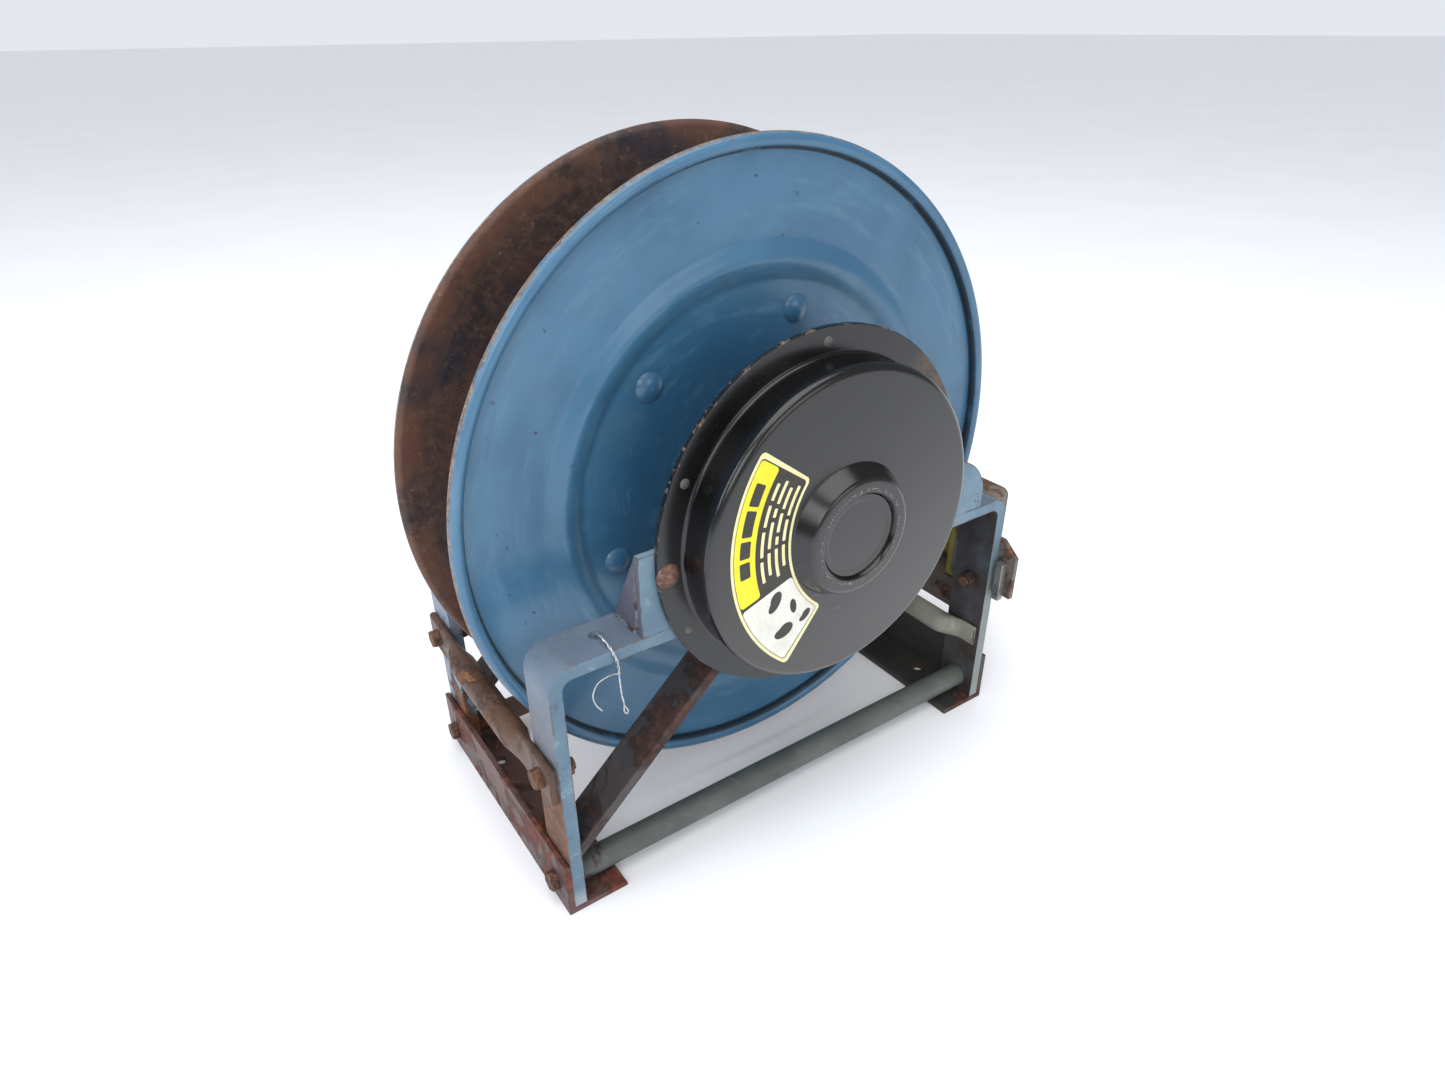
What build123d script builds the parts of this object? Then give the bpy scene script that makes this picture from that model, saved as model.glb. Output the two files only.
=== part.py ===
from build123d import *
import os
from math import atan2, cos, pi, radians, sin

# Spring-rewind hose reel. Millimetres. X to the right, Y to the rear, Z up.
# The origin is on the floor, at the centre of the base; the axle runs along Y above it.

# ---- driving dimensions: spool ----
axle_height = 278
axle_radius = 16
disc_radius = 250
spool_width = 119
sheet = 2
rim_roll = 5
roll_gap = 1.6
rib_inner = 153
rib_outer = 181
rib_height = 5
rib_blend = 5
drum_radius = 146
tie_circle = 132
tie_radius = 4.76
tie_angle = 15
hub_bolt_circle = 52
hub_pilot = 30
hub_flange = 70
hub_gauge = 8
hub_end = 80
collar_width = 10.4
collar_radius = 26

# ---- driving dimensions: axle ----
axle_front = -163
axle_rear = 168
axle_bore = 7
axle_bore_start = -8
ring_groove_start = 143.5
ring_groove_width = 5
spigot_start = 9
spigot_radius = 8
riser_bore = 5
key_size = 5
key_spans = ((-158, -136), (-78, -62), (62, 78), (127.5, 138))

# ---- driving dimensions: frames and base ----
bar_gauge = 10
bar_width = 40
frame_half_width = 222
frame_top = 225
frame_outer_y = 124
bend_inner = 8
angle_leg = 50
angle_gauge = 5
base_half_depth = 124.5
anchor_x = 205
anchor_y = 60
anchor_hole = 5
bolt_y = 104
base_bolt_z = 21
cross_tube_radius = 10.65
side_tube_radius = 10.65
side_tube_wall = 2.6
tab_gauge = 6
left_tube_z = 126
right_tube_z = 77
right_tube_length = 240
weld_flat = 1
brace_width = 32
brace_foot_z = 59
brace_head_x = -43
brace_gauge = 9
guide_bolt_z = 133
hook_hole = 5
hook_hole_x = -174
hook_hole_y = -101

# ---- driving dimensions: brackets and bearings ----
plate_gauge = 6
bracket_left = -150
bracket_right = 187
bracket_top = 288
bearing_bolt_circle = 38.5
bearing_bolt_radius = 4
bearing_depth = 24
bearing_flats = 12.7
plate_opening = 24
bush_outer = 20
running_gap = 0.05

# ---- driving dimensions: spring housing ----
flange_radius = 138
wall_foot = 117.5
wall_edge = 119.5
edge_blend = 6
housing_face_y = -160
boss_foot = 51
boss_top = 43
boss_height = 13.5
cap_radius = 31.5
back_gauge = 2.5
rivet_circle = 128
rivet_angles = (26, 90, 154, 206, 270, 334)
rivet_shank = 2.4
housing_bolt_x = 130.5
housing_bolt_z = 270.5
label_x = 22
label_z = 5
label_inner = 74.2
label_outer = 124
label_start = 142.5
label_end = 232.5
label_corner = 4
label_gauge = 0.4
spring_start = -131.5
spring_width = 24
spring_inner = 40
spring_pitch = 7.5
spring_turns = 9
spring_gauge = 1.2
arbor_y = -146.5
arbor_width = 29
arbor_radius = 28

# ---- driving dimensions: ratchet, pawl and swivel ----
ratchet_teeth = 12
ratchet_outer = 45
ratchet_root = 37
ratchet_gauge = 7
ratchet_back = 133.5
tooth_start = 20
pawl_x = 72
pawl_rise = 44
pawl_lift = 9
pawl_pin_radius = 6
riser_angle = -60
riser_reach = 165
riser_run = 30
riser_bend = 22
outlet_length = 32
outlet_radius = 15
thread_bore = 9.15
thread_depth = 28
swivel_start = 140
swivel_end = 192
swivel_radius = 26
cavity_radius = 18
cavity_end = 187
port_y = 179
port_reach = 48
port_passage = 7.5
seal_spots = (153, 161)
screw_y = 146
screw_radius = 2.5

# ---- driving dimensions: hose guide ----
roller_radius = 11
roller_pin = 5
guide_near_x = 247
guide_far_x = 293
guide_low = 91
guide_high = 190
guide_half_depth = 72
upright_roller_x = 258
upright_roller_y = 50
level_roller_x = 281
level_roller_low = 108.5
level_roller_high = 172.5
bracket_front_y = -142.5
bracket_low = 126
bracket_high = 181
lip_low = 63
lip_bolt_z = 77

# ---- fasteners ----
bolt_radius = 4.76
bolt_flats = 14.3
bolt_head = 6.5
nut_height = 8
hole_gap = 0.4

# ---- values worked out from these ----
frame_inner_y = frame_outer_y - bar_width
leg_inner_x = frame_half_width - bar_gauge
roll_y = -(spool_width / 2 - rim_roll)
roll_centre = disc_radius - rim_roll
web_back = roll_y + rim_roll
web_front = web_back - sheet
plate_back_y = -(frame_outer_y - plate_gauge)
back_plate_front = -frame_outer_y - back_gauge
flange_front = back_plate_front - sheet
boss_face = housing_face_y - boss_height
face_back = housing_face_y + sheet
pin_hole = roller_pin + running_gap

AXLE = Axis((0, 0, axle_height), (0, 1, 0))
# Half-section plane of everything that turns: local x is Y, local y is the radius from the axle.
PROFILE = Plane(origin=(0, 0, axle_height), x_dir=(0, 1, 0), z_dir=(1, 0, 0))
AXLE_SEAT = Plane(origin=(0, 0, axle_height), x_dir=(-1, 0, 0), z_dir=(0, 1, 0))
FROM_START = (Align.CENTER, Align.CENTER, Align.MIN)
BOTH_SIDES = (-1, 1)


def facing_front(y, height=0):
    """Plane across the reel at y: local x is X, local y is Z above height, normal to the front."""
    return Plane(origin=(0, y, height), x_dir=(1, 0, 0), z_dir=(0, -1, 0))


def around_axle(radius, angle):
    """X and Z of a point at a radius and angle about the axle, the angle from +X towards +Z."""
    turn = radians(angle)
    return radius * cos(turn), axle_height + radius * sin(turn)


rivet_spots = [(rivet_circle * cos(radians(a)), rivet_circle * sin(radians(a))) for a in rivet_angles]


def hex_bolt(radius, flats, head, length):
    """Hex bolt with its bearing face on the XY plane and its head towards +Z."""
    with BuildPart() as bolt:
        with BuildSketch():
            RegularPolygon(flats / 2, 6, major_radius=False)
        extrude(amount=head)
        chamfer(bolt.edges().group_by(Axis.Z)[-1], head * 0.12)
        with BuildSketch():
            Circle(radius)
        extrude(amount=-length)
    return bolt.part


def hex_nut(radius, flats, height):
    """Hex nut standing on the XY plane."""
    with BuildPart() as nut:
        with BuildSketch():
            RegularPolygon(flats / 2, 6, major_radius=False)
            Circle(radius, mode=Mode.SUBTRACT)
        extrude(amount=height)
        outer = nut.edges().group_by(Axis.Z)[-1].filter_by(GeomType.LINE)
        chamfer(outer, height * 0.1)
    return nut.part


def round_bolt(radius, head_radius, head, length):
    """Round-head bolt: a low dome on a shank, with its bearing face on the XY plane."""
    dome = (head_radius**2 + head**2) / (2 * head)
    with BuildPart() as bolt:
        with BuildSketch(Plane.XZ):
            with BuildLine():
                Line((0, head), (0, -length))
                Line((0, -length), (radius, -length))
                Line((radius, -length), (radius, 0))
                Line((radius, 0), (head_radius, 0))
                RadiusArc((head_radius, 0), (0, head), -dome)
            make_face()
        revolve(axis=Axis.Z)
    return bolt.part


# ---- frames ----
def u_frame(front_edge, hook_holes):
    """Inverted U of flat bar, open at the foot, with its bolt holes and any in its top bar."""
    with BuildPart() as frame:
        with BuildSketch(facing_front(front_edge)):
            with BuildLine():
                outer = FilletPolyline(
                    (-frame_half_width, angle_gauge),
                    (-frame_half_width, frame_top),
                    (frame_half_width, frame_top),
                    (frame_half_width, angle_gauge),
                    radius=bend_inner + bar_gauge,
                )
                inner = FilletPolyline(
                    (-leg_inner_x, angle_gauge),
                    (-leg_inner_x, frame_top - bar_gauge),
                    (leg_inner_x, frame_top - bar_gauge),
                    (leg_inner_x, angle_gauge),
                    radius=bend_inner,
                )
                Line(outer @ 0, inner @ 0)
                Line(outer @ 1, inner @ 1)
            make_face()
        extrude(amount=-bar_width)
        side = 1 if front_edge > 0 else -1
        leg_holes = [
            (-1, base_bolt_z),
            (1, base_bolt_z),
            (-1, left_tube_z),
            (1, right_tube_z),
            (1, guide_bolt_z),
        ]
        for leg, height in leg_holes:
            with Locations(Plane(origin=(leg * frame_half_width, side * bolt_y, height), z_dir=(leg, 0, 0))):
                Hole(bolt_radius + hole_gap, depth=bar_gauge)
        for x, y in hook_holes:
            with Locations((x, y, frame_top)):
                Hole(hook_hole, depth=bar_gauge)
    return frame


front_frame = u_frame(-frame_outer_y, [(hook_hole_x, hook_hole_y)])
rear_frame = u_frame(frame_inner_y, [])


def base_angle(side):
    """Rolled angle along Y: an upright flange outside the legs and a flat one turned inwards."""
    outer = side * (frame_half_width + angle_gauge)
    inner = side * (frame_half_width + angle_gauge - angle_leg)
    wall = side * frame_half_width
    with BuildPart() as angle:
        with BuildSketch(facing_front(-base_half_depth)):
            with BuildLine():
                FilletPolyline(
                    (outer, 0),
                    (outer, angle_leg),
                    (wall, angle_leg),
                    (wall, angle_gauge),
                    (inner, angle_gauge),
                    (inner, 0),
                    radius=(0, 0, 2.5, 0, 2.5, 0),
                    close=True,
                )
            make_face()
        extrude(amount=-2 * base_half_depth)
        with Locations((side * anchor_x, -anchor_y, 0), (side * anchor_x, anchor_y, 0)):
            Cylinder(anchor_hole, 4 * angle_gauge, mode=Mode.SUBTRACT)
        for y in (-bolt_y, bolt_y):
            with Locations(Plane(origin=(outer, y, base_bolt_z), z_dir=(side, 0, 0))):
                Hole(bolt_radius + hole_gap, depth=angle_gauge)
    return angle


left_base_angle = base_angle(-1)
right_base_angle = base_angle(1)


def cross_tube(y):
    """Spacer tube between the legs with a threaded plug welded in each end."""
    plug = 24
    with BuildPart() as tube:
        with Locations(Plane(origin=(0, y, base_bolt_z), z_dir=(1, 0, 0))):
            Cylinder(cross_tube_radius, 2 * leg_inner_x)
            Cylinder(cross_tube_radius - side_tube_wall, 2 * (leg_inner_x - plug), mode=Mode.SUBTRACT)
            Cylinder(bolt_radius, 2 * leg_inner_x, mode=Mode.SUBTRACT)
    return tube


front_cross_tube = cross_tube(-bolt_y)
rear_cross_tube = cross_tube(bolt_y)


def diagonal_brace(front_edge):
    """Flat bar from the left leg up to the top bar, cut to both."""
    slope = atan2(frame_top - bar_gauge - brace_foot_z, brace_head_x + leg_inner_x)
    with BuildPart() as brace:
        with BuildSketch(facing_front(front_edge)):
            with BuildLine():
                Polyline(
                    (-leg_inner_x, brace_foot_z),
                    (brace_head_x, frame_top - bar_gauge),
                    (brace_head_x + brace_gauge / sin(slope), frame_top - bar_gauge),
                    (-leg_inner_x, brace_foot_z - brace_gauge / cos(slope)),
                    close=True,
                )
            make_face()
        extrude(amount=-brace_width)
    return brace


front_diagonal_brace = diagonal_brace(-bolt_y - brace_width / 2)
rear_diagonal_brace = diagonal_brace(bolt_y - brace_width / 2)


def pinched_tube(axis_x, axis_z):
    """Round tube along Y with both ends pinched flat and bolted to the legs."""
    round_end = 54
    flat_start = 82
    flat_end = 120
    tab_height = 33
    with BuildPart() as tube:
        with BuildSketch(facing_front(round_end, axis_z)):
            with Locations((axis_x, 0)):
                Circle(side_tube_radius)
        extrude(amount=2 * round_end)
        for end in BOTH_SIDES:
            with BuildSketch(facing_front(end * round_end, axis_z)):
                with Locations((axis_x, 0)):
                    Circle(side_tube_radius)
            with BuildSketch(facing_front(end * flat_start, axis_z)):
                with Locations((axis_x, 0)):
                    SlotOverall(tab_height, tab_gauge, rotation=90)
            loft()
            with BuildSketch(facing_front(end * flat_start, axis_z)):
                with Locations((axis_x, 0)):
                    SlotOverall(tab_height, tab_gauge, rotation=90)
            extrude(amount=-end * (flat_end - flat_start))
        with BuildSketch(facing_front(round_end, axis_z)):
            with Locations((axis_x, 0)):
                Circle(side_tube_radius - side_tube_wall)
        extrude(amount=2 * round_end, mode=Mode.SUBTRACT)
        for end in BOTH_SIDES:
            with Locations(Plane(origin=(axis_x + tab_gauge, end * bolt_y, axis_z), z_dir=(1, 0, 0))):
                Hole(bolt_radius + hole_gap, depth=2 * tab_gauge)
    return tube


left_side_tube = pinched_tube(-(frame_half_width + tab_gauge / 2), left_tube_z)

right_tube_x = leg_inner_x - side_tube_radius + weld_flat
with BuildPart() as right_side_tube:
    with Locations(Plane(origin=(right_tube_x, 0, right_tube_z), z_dir=(0, 1, 0))):
        Cylinder(side_tube_radius, right_tube_length)
        Cylinder(side_tube_radius - side_tube_wall, right_tube_length, mode=Mode.SUBTRACT)
    for side in BOTH_SIDES:
        with Locations((leg_inner_x + bar_gauge / 2, side * bolt_y, right_tube_z)):
            Box(bar_gauge, bar_width + 2, 2 * side_tube_radius, mode=Mode.SUBTRACT)
        with Locations(Plane(origin=(leg_inner_x, side * bolt_y, right_tube_z), z_dir=(1, 0, 0))):
            Hole(bolt_radius, depth=side_tube_radius)

base_bolt = hex_bolt(bolt_radius, bolt_flats, bolt_head, 32)
with BuildPart() as base_bolts:
    for side in BOTH_SIDES:
        head_x = side * (frame_half_width + angle_gauge)
        for y in (-bolt_y, bolt_y):
            with Locations(Plane(origin=(head_x, y, base_bolt_z), z_dir=(side, 0, 0))):
                add(base_bolt)

tab_bolt = hex_bolt(bolt_radius, bolt_flats, bolt_head, tab_gauge + bar_gauge + nut_height + 2)
tube_bolt = hex_bolt(bolt_radius, bolt_flats, bolt_head, bar_gauge + side_tube_wall + 2)
tab_nut = hex_nut(bolt_radius, bolt_flats, nut_height)
with BuildPart() as side_tube_bolts:
    for y in (-bolt_y, bolt_y):
        with Locations(Plane(origin=(-frame_half_width - tab_gauge, y, left_tube_z), z_dir=(-1, 0, 0))):
            add(tab_bolt)
        with Locations(Plane(origin=(frame_half_width, y, right_tube_z), z_dir=(1, 0, 0))):
            add(tube_bolt)
with BuildPart() as side_tube_nuts:
    for y in (-bolt_y, bolt_y):
        with Locations(Plane(origin=(-leg_inner_x, y, left_tube_z), z_dir=(1, 0, 0))):
            add(tab_nut)


# ---- bearing brackets ----
def bearing_bracket(upright_holes):
    """Upright plate welded on the top bar, with a raised middle for the bearing and two gussets.

    upright_holes lists further bolt holes as (x, z, radius).
    """
    corner = 40
    corner_x = bracket_right - corner
    corner_z = frame_top + 11
    with BuildPart() as bracket:
        with BuildSketch(facing_front(plate_back_y)):
            with BuildLine():
                edge = Polyline(
                    (bracket_right, corner_z),
                    (bracket_right, frame_top),
                    (bracket_left, frame_top),
                    (bracket_left, bracket_top),
                    (-100, bracket_top),
                    (-62, 345),
                    (92, 345),
                    (116, bracket_top),
                    (corner_x + corner * cos(radians(60)), corner_z + corner * sin(radians(60))),
                )
                JernArc(edge @ 1, (sin(radians(60)), -cos(radians(60))), corner, -60)
            make_face()
        extrude(amount=plate_gauge)
        for left_face, height in ((bracket_left, bracket_top - 2), (141, 270)):
            with BuildSketch(Plane.YZ.offset(left_face)):
                with BuildLine():
                    Polyline(
                        (plate_back_y, frame_top),
                        (-frame_inner_y, frame_top),
                        (plate_back_y, height),
                        close=True,
                    )
                make_face()
            extrude(amount=plate_gauge)
        with BuildSketch(facing_front(plate_back_y, axle_height)):
            Circle(plate_opening)
            with PolarLocations(bearing_bolt_circle, 4, 45):
                Circle(bearing_bolt_radius + hole_gap / 2)
            for x, z, radius in upright_holes:
                with Locations((x, z - axle_height)):
                    Circle(radius)
        extrude(amount=plate_gauge, mode=Mode.SUBTRACT)
    return bracket


housing_hole = bolt_radius + hole_gap
front_bearing_bracket = bearing_bracket(
    [(-housing_bolt_x, housing_bolt_z, housing_hole), (housing_bolt_x, housing_bolt_z, housing_hole)]
)
pawl_bracket = bearing_bracket([(pawl_x, axle_height + pawl_rise, pawl_pin_radius)])
with BuildPart() as rear_bearing_bracket:
    mirror(pawl_bracket.part, about=Plane.XZ)

with BuildPart() as front_bearing_housing:
    with BuildSketch(PROFILE):
        with BuildLine():
            FilletPolyline(
                (plate_back_y, bush_outer),
                (plate_back_y, 48),
                (plate_back_y + 9, 48),
                (plate_back_y + 11, 30),
                (plate_back_y + bearing_depth, 29),
                (plate_back_y + bearing_depth, bush_outer),
                radius=(0, 0, 2, 3, 1.5, 0),
                close=True,
            )
        make_face()
    revolve(axis=AXLE)
    with BuildSketch(facing_front(plate_back_y, axle_height)):
        with PolarLocations(bearing_bolt_circle, 4, 45):
            Circle(bearing_bolt_radius + hole_gap / 2)
    extrude(amount=-14, mode=Mode.SUBTRACT)
    with BuildSketch(facing_front(plate_back_y + 9, axle_height)):
        with PolarLocations(bearing_bolt_circle, 4, 45):
            Circle(7.6)
    extrude(amount=-6, mode=Mode.SUBTRACT)

with BuildPart() as rear_bearing_housing:
    mirror(front_bearing_housing.part, about=Plane.XZ)

with BuildPart() as bearing_bushes:
    with BuildSketch(PROFILE):
        with BuildLine():
            Polyline(
                (plate_back_y, axle_radius + running_gap),
                (plate_back_y, bush_outer),
                (plate_back_y + bearing_depth, bush_outer),
                (plate_back_y + bearing_depth, 26),
                (plate_back_y + bearing_depth + 3, 26),
                (plate_back_y + bearing_depth + 3, axle_radius + running_gap),
                close=True,
            )
        make_face()
    revolve(axis=AXLE)
    mirror(about=Plane.XZ)

front_bearing_bolt = hex_bolt(bearing_bolt_radius, bearing_flats, 4, 26)
rear_bearing_bolt = hex_bolt(bearing_bolt_radius, bearing_flats, 2, 24)
bearing_nut = hex_nut(bearing_bolt_radius, bearing_flats, 6)
with BuildPart() as bearing_bolts:
    with Locations(facing_front(back_plate_front, axle_height)):
        with PolarLocations(bearing_bolt_circle, 4, 45):
            add(front_bearing_bolt)
    with Locations(Plane(origin=(0, frame_outer_y, axle_height), x_dir=(1, 0, 0), z_dir=(0, 1, 0))):
        with PolarLocations(bearing_bolt_circle, 4, 45):
            add(rear_bearing_bolt)
with BuildPart() as bearing_nuts:
    with Locations(Plane(origin=(0, plate_back_y + 9, axle_height), x_dir=(1, 0, 0), z_dir=(0, 1, 0))):
        with PolarLocations(bearing_bolt_circle, 4, 45):
            add(bearing_nut)
    mirror(about=Plane.XZ)

# ---- spring housing ----
with BuildPart() as spring_housing_back_plate:
    with BuildSketch(facing_front(-frame_outer_y, axle_height)):
        Circle(flange_radius)
        Circle(plate_opening, mode=Mode.SUBTRACT)
        with PolarLocations(bearing_bolt_circle, 4, 45):
            Circle(bearing_bolt_radius + hole_gap / 2, mode=Mode.SUBTRACT)
        with Locations(rivet_spots):
            Circle(rivet_shank, mode=Mode.SUBTRACT)
        with Locations(
            (-housing_bolt_x, housing_bolt_z - axle_height),
            (housing_bolt_x, housing_bolt_z - axle_height),
        ):
            Circle(bolt_radius + hole_gap, mode=Mode.SUBTRACT)
    extrude(amount=back_gauge)

with BuildPart() as spring_housing_cover:
    with BuildSketch(PROFILE):
        with BuildLine():
            FilletPolyline(
                (back_plate_front, flange_radius),
                (flange_front, flange_radius),
                (flange_front, wall_foot),
                (housing_face_y, wall_edge),
                (housing_face_y, boss_foot),
                (boss_face, boss_top),
                (boss_face, cap_radius + 2),
                (boss_face + 3.5, cap_radius),
                (boss_face + 3.5 + sheet, cap_radius),
                (boss_face + sheet, cap_radius + 3),
                (boss_face + sheet, boss_top - 1.1),
                (face_back, boss_foot - 1.1),
                (face_back, wall_edge - sheet),
                (back_plate_front, wall_foot - sheet),
                radius=(0, 0, 3, edge_blend, 1, 5, 2, 0, 0, 1, 3, 3, edge_blend - sheet, 0),
                close=True,
            )
        make_face()
    revolve(axis=AXLE)
    with BuildSketch(facing_front(back_plate_front, axle_height)):
        with Locations(rivet_spots):
            Circle(rivet_shank)
        with Locations(
            (-housing_bolt_x, housing_bolt_z - axle_height),
            (housing_bolt_x, housing_bolt_z - axle_height),
        ):
            Circle(bolt_radius + hole_gap)
    extrude(amount=sheet, mode=Mode.SUBTRACT)

with BuildPart() as housing_cap:
    with BuildSketch(PROFILE):
        with BuildLine():
            Line((boss_face + 4, 0), (boss_face + 4, 26))
            Line((boss_face + 4, 26), (boss_face + 3, cap_radius))
            Line((boss_face + 3, cap_radius), (boss_face + 4.6, cap_radius))
            Line((boss_face + 4.6, cap_radius), (boss_face + 5.6, 26))
            Line((boss_face + 5.6, 26), (boss_face + 5.6, 0))
            Line((boss_face + 5.6, 0), (boss_face + 4, 0))
        make_face()
    revolve(axis=AXLE)

rivet = round_bolt(rivet_shank, 3.6, 0.8, sheet + back_gauge)
with BuildPart() as housing_rivets:
    with Locations(facing_front(flange_front, axle_height)):
        with Locations(rivet_spots):
            add(rivet)

housing_bolt = round_bolt(bolt_radius, 9, 5.5, sheet + back_gauge + plate_gauge + nut_height + 2)
with BuildPart() as housing_bolts:
    with Locations(
        Plane(origin=(-housing_bolt_x, flange_front, housing_bolt_z), z_dir=(0, -1, 0)),
        Plane(origin=(housing_bolt_x, flange_front, housing_bolt_z), z_dir=(0, -1, 0)),
    ):
        add(housing_bolt)
with BuildPart() as housing_nuts:
    with Locations(
        Plane(origin=(-housing_bolt_x, plate_back_y, housing_bolt_z), z_dir=(0, 1, 0)),
        Plane(origin=(housing_bolt_x, plate_back_y, housing_bolt_z), z_dir=(0, 1, 0)),
    ):
        add(tab_nut)

with BuildPart() as label_plate:
    with BuildSketch(facing_front(housing_face_y, axle_height)) as label:
        with BuildLine():
            inner_arc = CenterArc((label_x, label_z), label_inner, label_start, label_end - label_start)
            outer_arc = CenterArc((label_x, label_z), label_outer, label_start, label_end - label_start)
            Line(inner_arc @ 0, outer_arc @ 0)
            Line(inner_arc @ 1, outer_arc @ 1)
        make_face()
        fillet(label.vertices(), label_corner)
    extrude(amount=label_gauge)


def spiral_point(turn_angle, shift):
    """Point of the spring's spiral, shift mm outside its centre line, about the axle."""
    radius = spring_inner + spring_pitch * turn_angle / (2 * pi) + shift
    return radius * cos(turn_angle), radius * sin(turn_angle)


with BuildPart() as power_spring:
    steps = [2 * pi * n / 16 for n in range(16 * spring_turns + 1)]
    with BuildSketch(facing_front(spring_start, axle_height)):
        with BuildLine():
            inner_edge = Spline([spiral_point(a, -spring_gauge / 2) for a in steps])
            outer_edge = Spline([spiral_point(a, spring_gauge / 2) for a in steps])
            Line(inner_edge @ 0, outer_edge @ 0)
            Line(inner_edge @ 1, outer_edge @ 1)
        make_face()
    extrude(amount=spring_width)

# ---- spool ----
rib_middle = (rib_inner + rib_outer) / 2
with BuildPart() as front_disc:
    with BuildSketch(PROFILE) as section:
        with BuildLine():
            Line((web_front, hub_pilot), (web_front, rib_inner))
            ThreePointArc(
                (web_front, rib_inner),
                (web_front - rib_height, rib_middle),
                (web_front, rib_outer),
            )
            Line((web_front, rib_outer), (web_front, roll_centre))
            Line((web_front, roll_centre), (web_back, roll_centre))
            Line((web_back, roll_centre), (web_back, rib_outer - 0.6))
            ThreePointArc(
                (web_back, rib_outer - 0.6),
                (web_back - rib_height, rib_middle),
                (web_back, rib_inner + 0.6),
            )
            Line((web_back, rib_inner + 0.6), (web_back, hub_pilot))
            Line((web_back, hub_pilot), (web_front, hub_pilot))
        make_face()
        half_rib = (rib_outer - rib_inner) / 2
        feet = [v for v in section.vertices() if abs(abs(v.Y - rib_middle) - half_rib) < 1]
        fillet(feet, rib_blend)
        with Locations((roll_y, roll_centre)):
            Circle(rim_roll)
            Circle(rim_roll - sheet, mode=Mode.SUBTRACT)
        with Locations((web_front - roll_gap / 2, roll_centre - rim_roll / 2 - 1)):
            Rectangle(roll_gap, rim_roll, mode=Mode.SUBTRACT)
    revolve(axis=AXLE)
    with BuildSketch(facing_front(web_back, axle_height)):
        with PolarLocations(tie_circle, 6, tie_angle):
            Circle(tie_radius + hole_gap / 2)
        with PolarLocations(hub_bolt_circle, 4, 45):
            Circle(bolt_radius + hole_gap / 2)
    extrude(amount=sheet, mode=Mode.SUBTRACT)

with BuildPart() as rear_disc:
    mirror(front_disc.part, about=Plane.XZ)

riser_x, riser_z = around_axle(1, riser_angle)
riser_direction = (riser_x, 0, riser_z - axle_height)
RISER = Plane(origin=(0, 0, axle_height), x_dir=(0, 1, 0), z_dir=riser_direction)
with BuildPart() as drum_core:
    with BuildSketch(facing_front(-web_back, axle_height)):
        Circle(drum_radius)
        Circle(drum_radius - sheet, mode=Mode.SUBTRACT)
    extrude(amount=-2 * web_back)
    with BuildSketch(RISER):
        Circle(14)
    extrude(amount=drum_radius + 5, mode=Mode.SUBTRACT)

with BuildPart() as axle:
    with Locations(AXLE_SEAT.offset(axle_front)):
        Cylinder(axle_radius, axle_rear - axle_front, align=FROM_START)
    with Locations(AXLE_SEAT.offset(axle_bore_start)):
        Cylinder(axle_bore, axle_rear - axle_bore_start, align=FROM_START, mode=Mode.SUBTRACT)
    with BuildSketch(AXLE_SEAT.offset(ring_groove_start)):
        Circle(axle_radius + 1)
        Circle(axle_radius - 1.5, mode=Mode.SUBTRACT)
    extrude(amount=ring_groove_width, mode=Mode.SUBTRACT)
    with BuildSketch(RISER.offset(spigot_start)):
        Circle(spigot_radius)
    extrude(amount=axle_radius, mode=Mode.SUBTRACT)
    with BuildSketch(RISER):
        Circle(riser_bore)
    extrude(amount=axle_radius, mode=Mode.SUBTRACT)
    for key_start, key_end in key_spans:
        with Locations((0, (key_start + key_end) / 2, axle_height + axle_radius)):
            Box(key_size, key_end - key_start, key_size, mode=Mode.SUBTRACT)

with BuildPart() as axle_keys:
    for key_start, key_end in key_spans:
        with Locations((0, (key_start + key_end) / 2, axle_height + axle_radius)):
            Box(key_size, key_end - key_start, key_size)

with BuildPart() as front_hub:
    with BuildSketch(PROFILE):
        with BuildLine():
            FilletPolyline(
                (-hub_end, axle_radius),
                (-hub_end, hub_pilot - 1),
                (web_front - hub_gauge, hub_pilot - 1),
                (web_front - hub_gauge, hub_flange),
                (web_front, hub_flange),
                (web_front, hub_pilot),
                (web_back + 2, hub_pilot),
                (web_back + 2, axle_radius),
                radius=(0, 1.5, 4, 2, 0, 0, 1, 0),
                close=True,
            )
        make_face()
    revolve(axis=AXLE)
    with BuildSketch(facing_front(web_front, axle_height)):
        with PolarLocations(hub_bolt_circle, 4, 45):
            Circle(bolt_radius + hole_gap / 2)
    extrude(amount=hub_gauge, mode=Mode.SUBTRACT)
    with Locations((0, -63, axle_height + axle_radius)):
        Box(key_size, 40, key_size, mode=Mode.SUBTRACT)

with BuildPart() as rear_hub:
    mirror(front_hub.part, about=Plane.XZ)

hub_bolt = hex_bolt(bolt_radius, bolt_flats, bolt_head, hub_gauge + sheet + nut_height + 2)
with BuildPart() as hub_bolts:
    with Locations(facing_front(web_front - hub_gauge, axle_height)):
        with PolarLocations(hub_bolt_circle, 4, 45):
            add(hub_bolt)
    mirror(about=Plane.XZ)
with BuildPart() as hub_nuts:
    with Locations(Plane(origin=(0, web_back, axle_height), x_dir=(1, 0, 0), z_dir=(0, 1, 0))):
        with PolarLocations(hub_bolt_circle, 4, 45):
            add(tab_nut)
    mirror(about=Plane.XZ)

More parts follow.
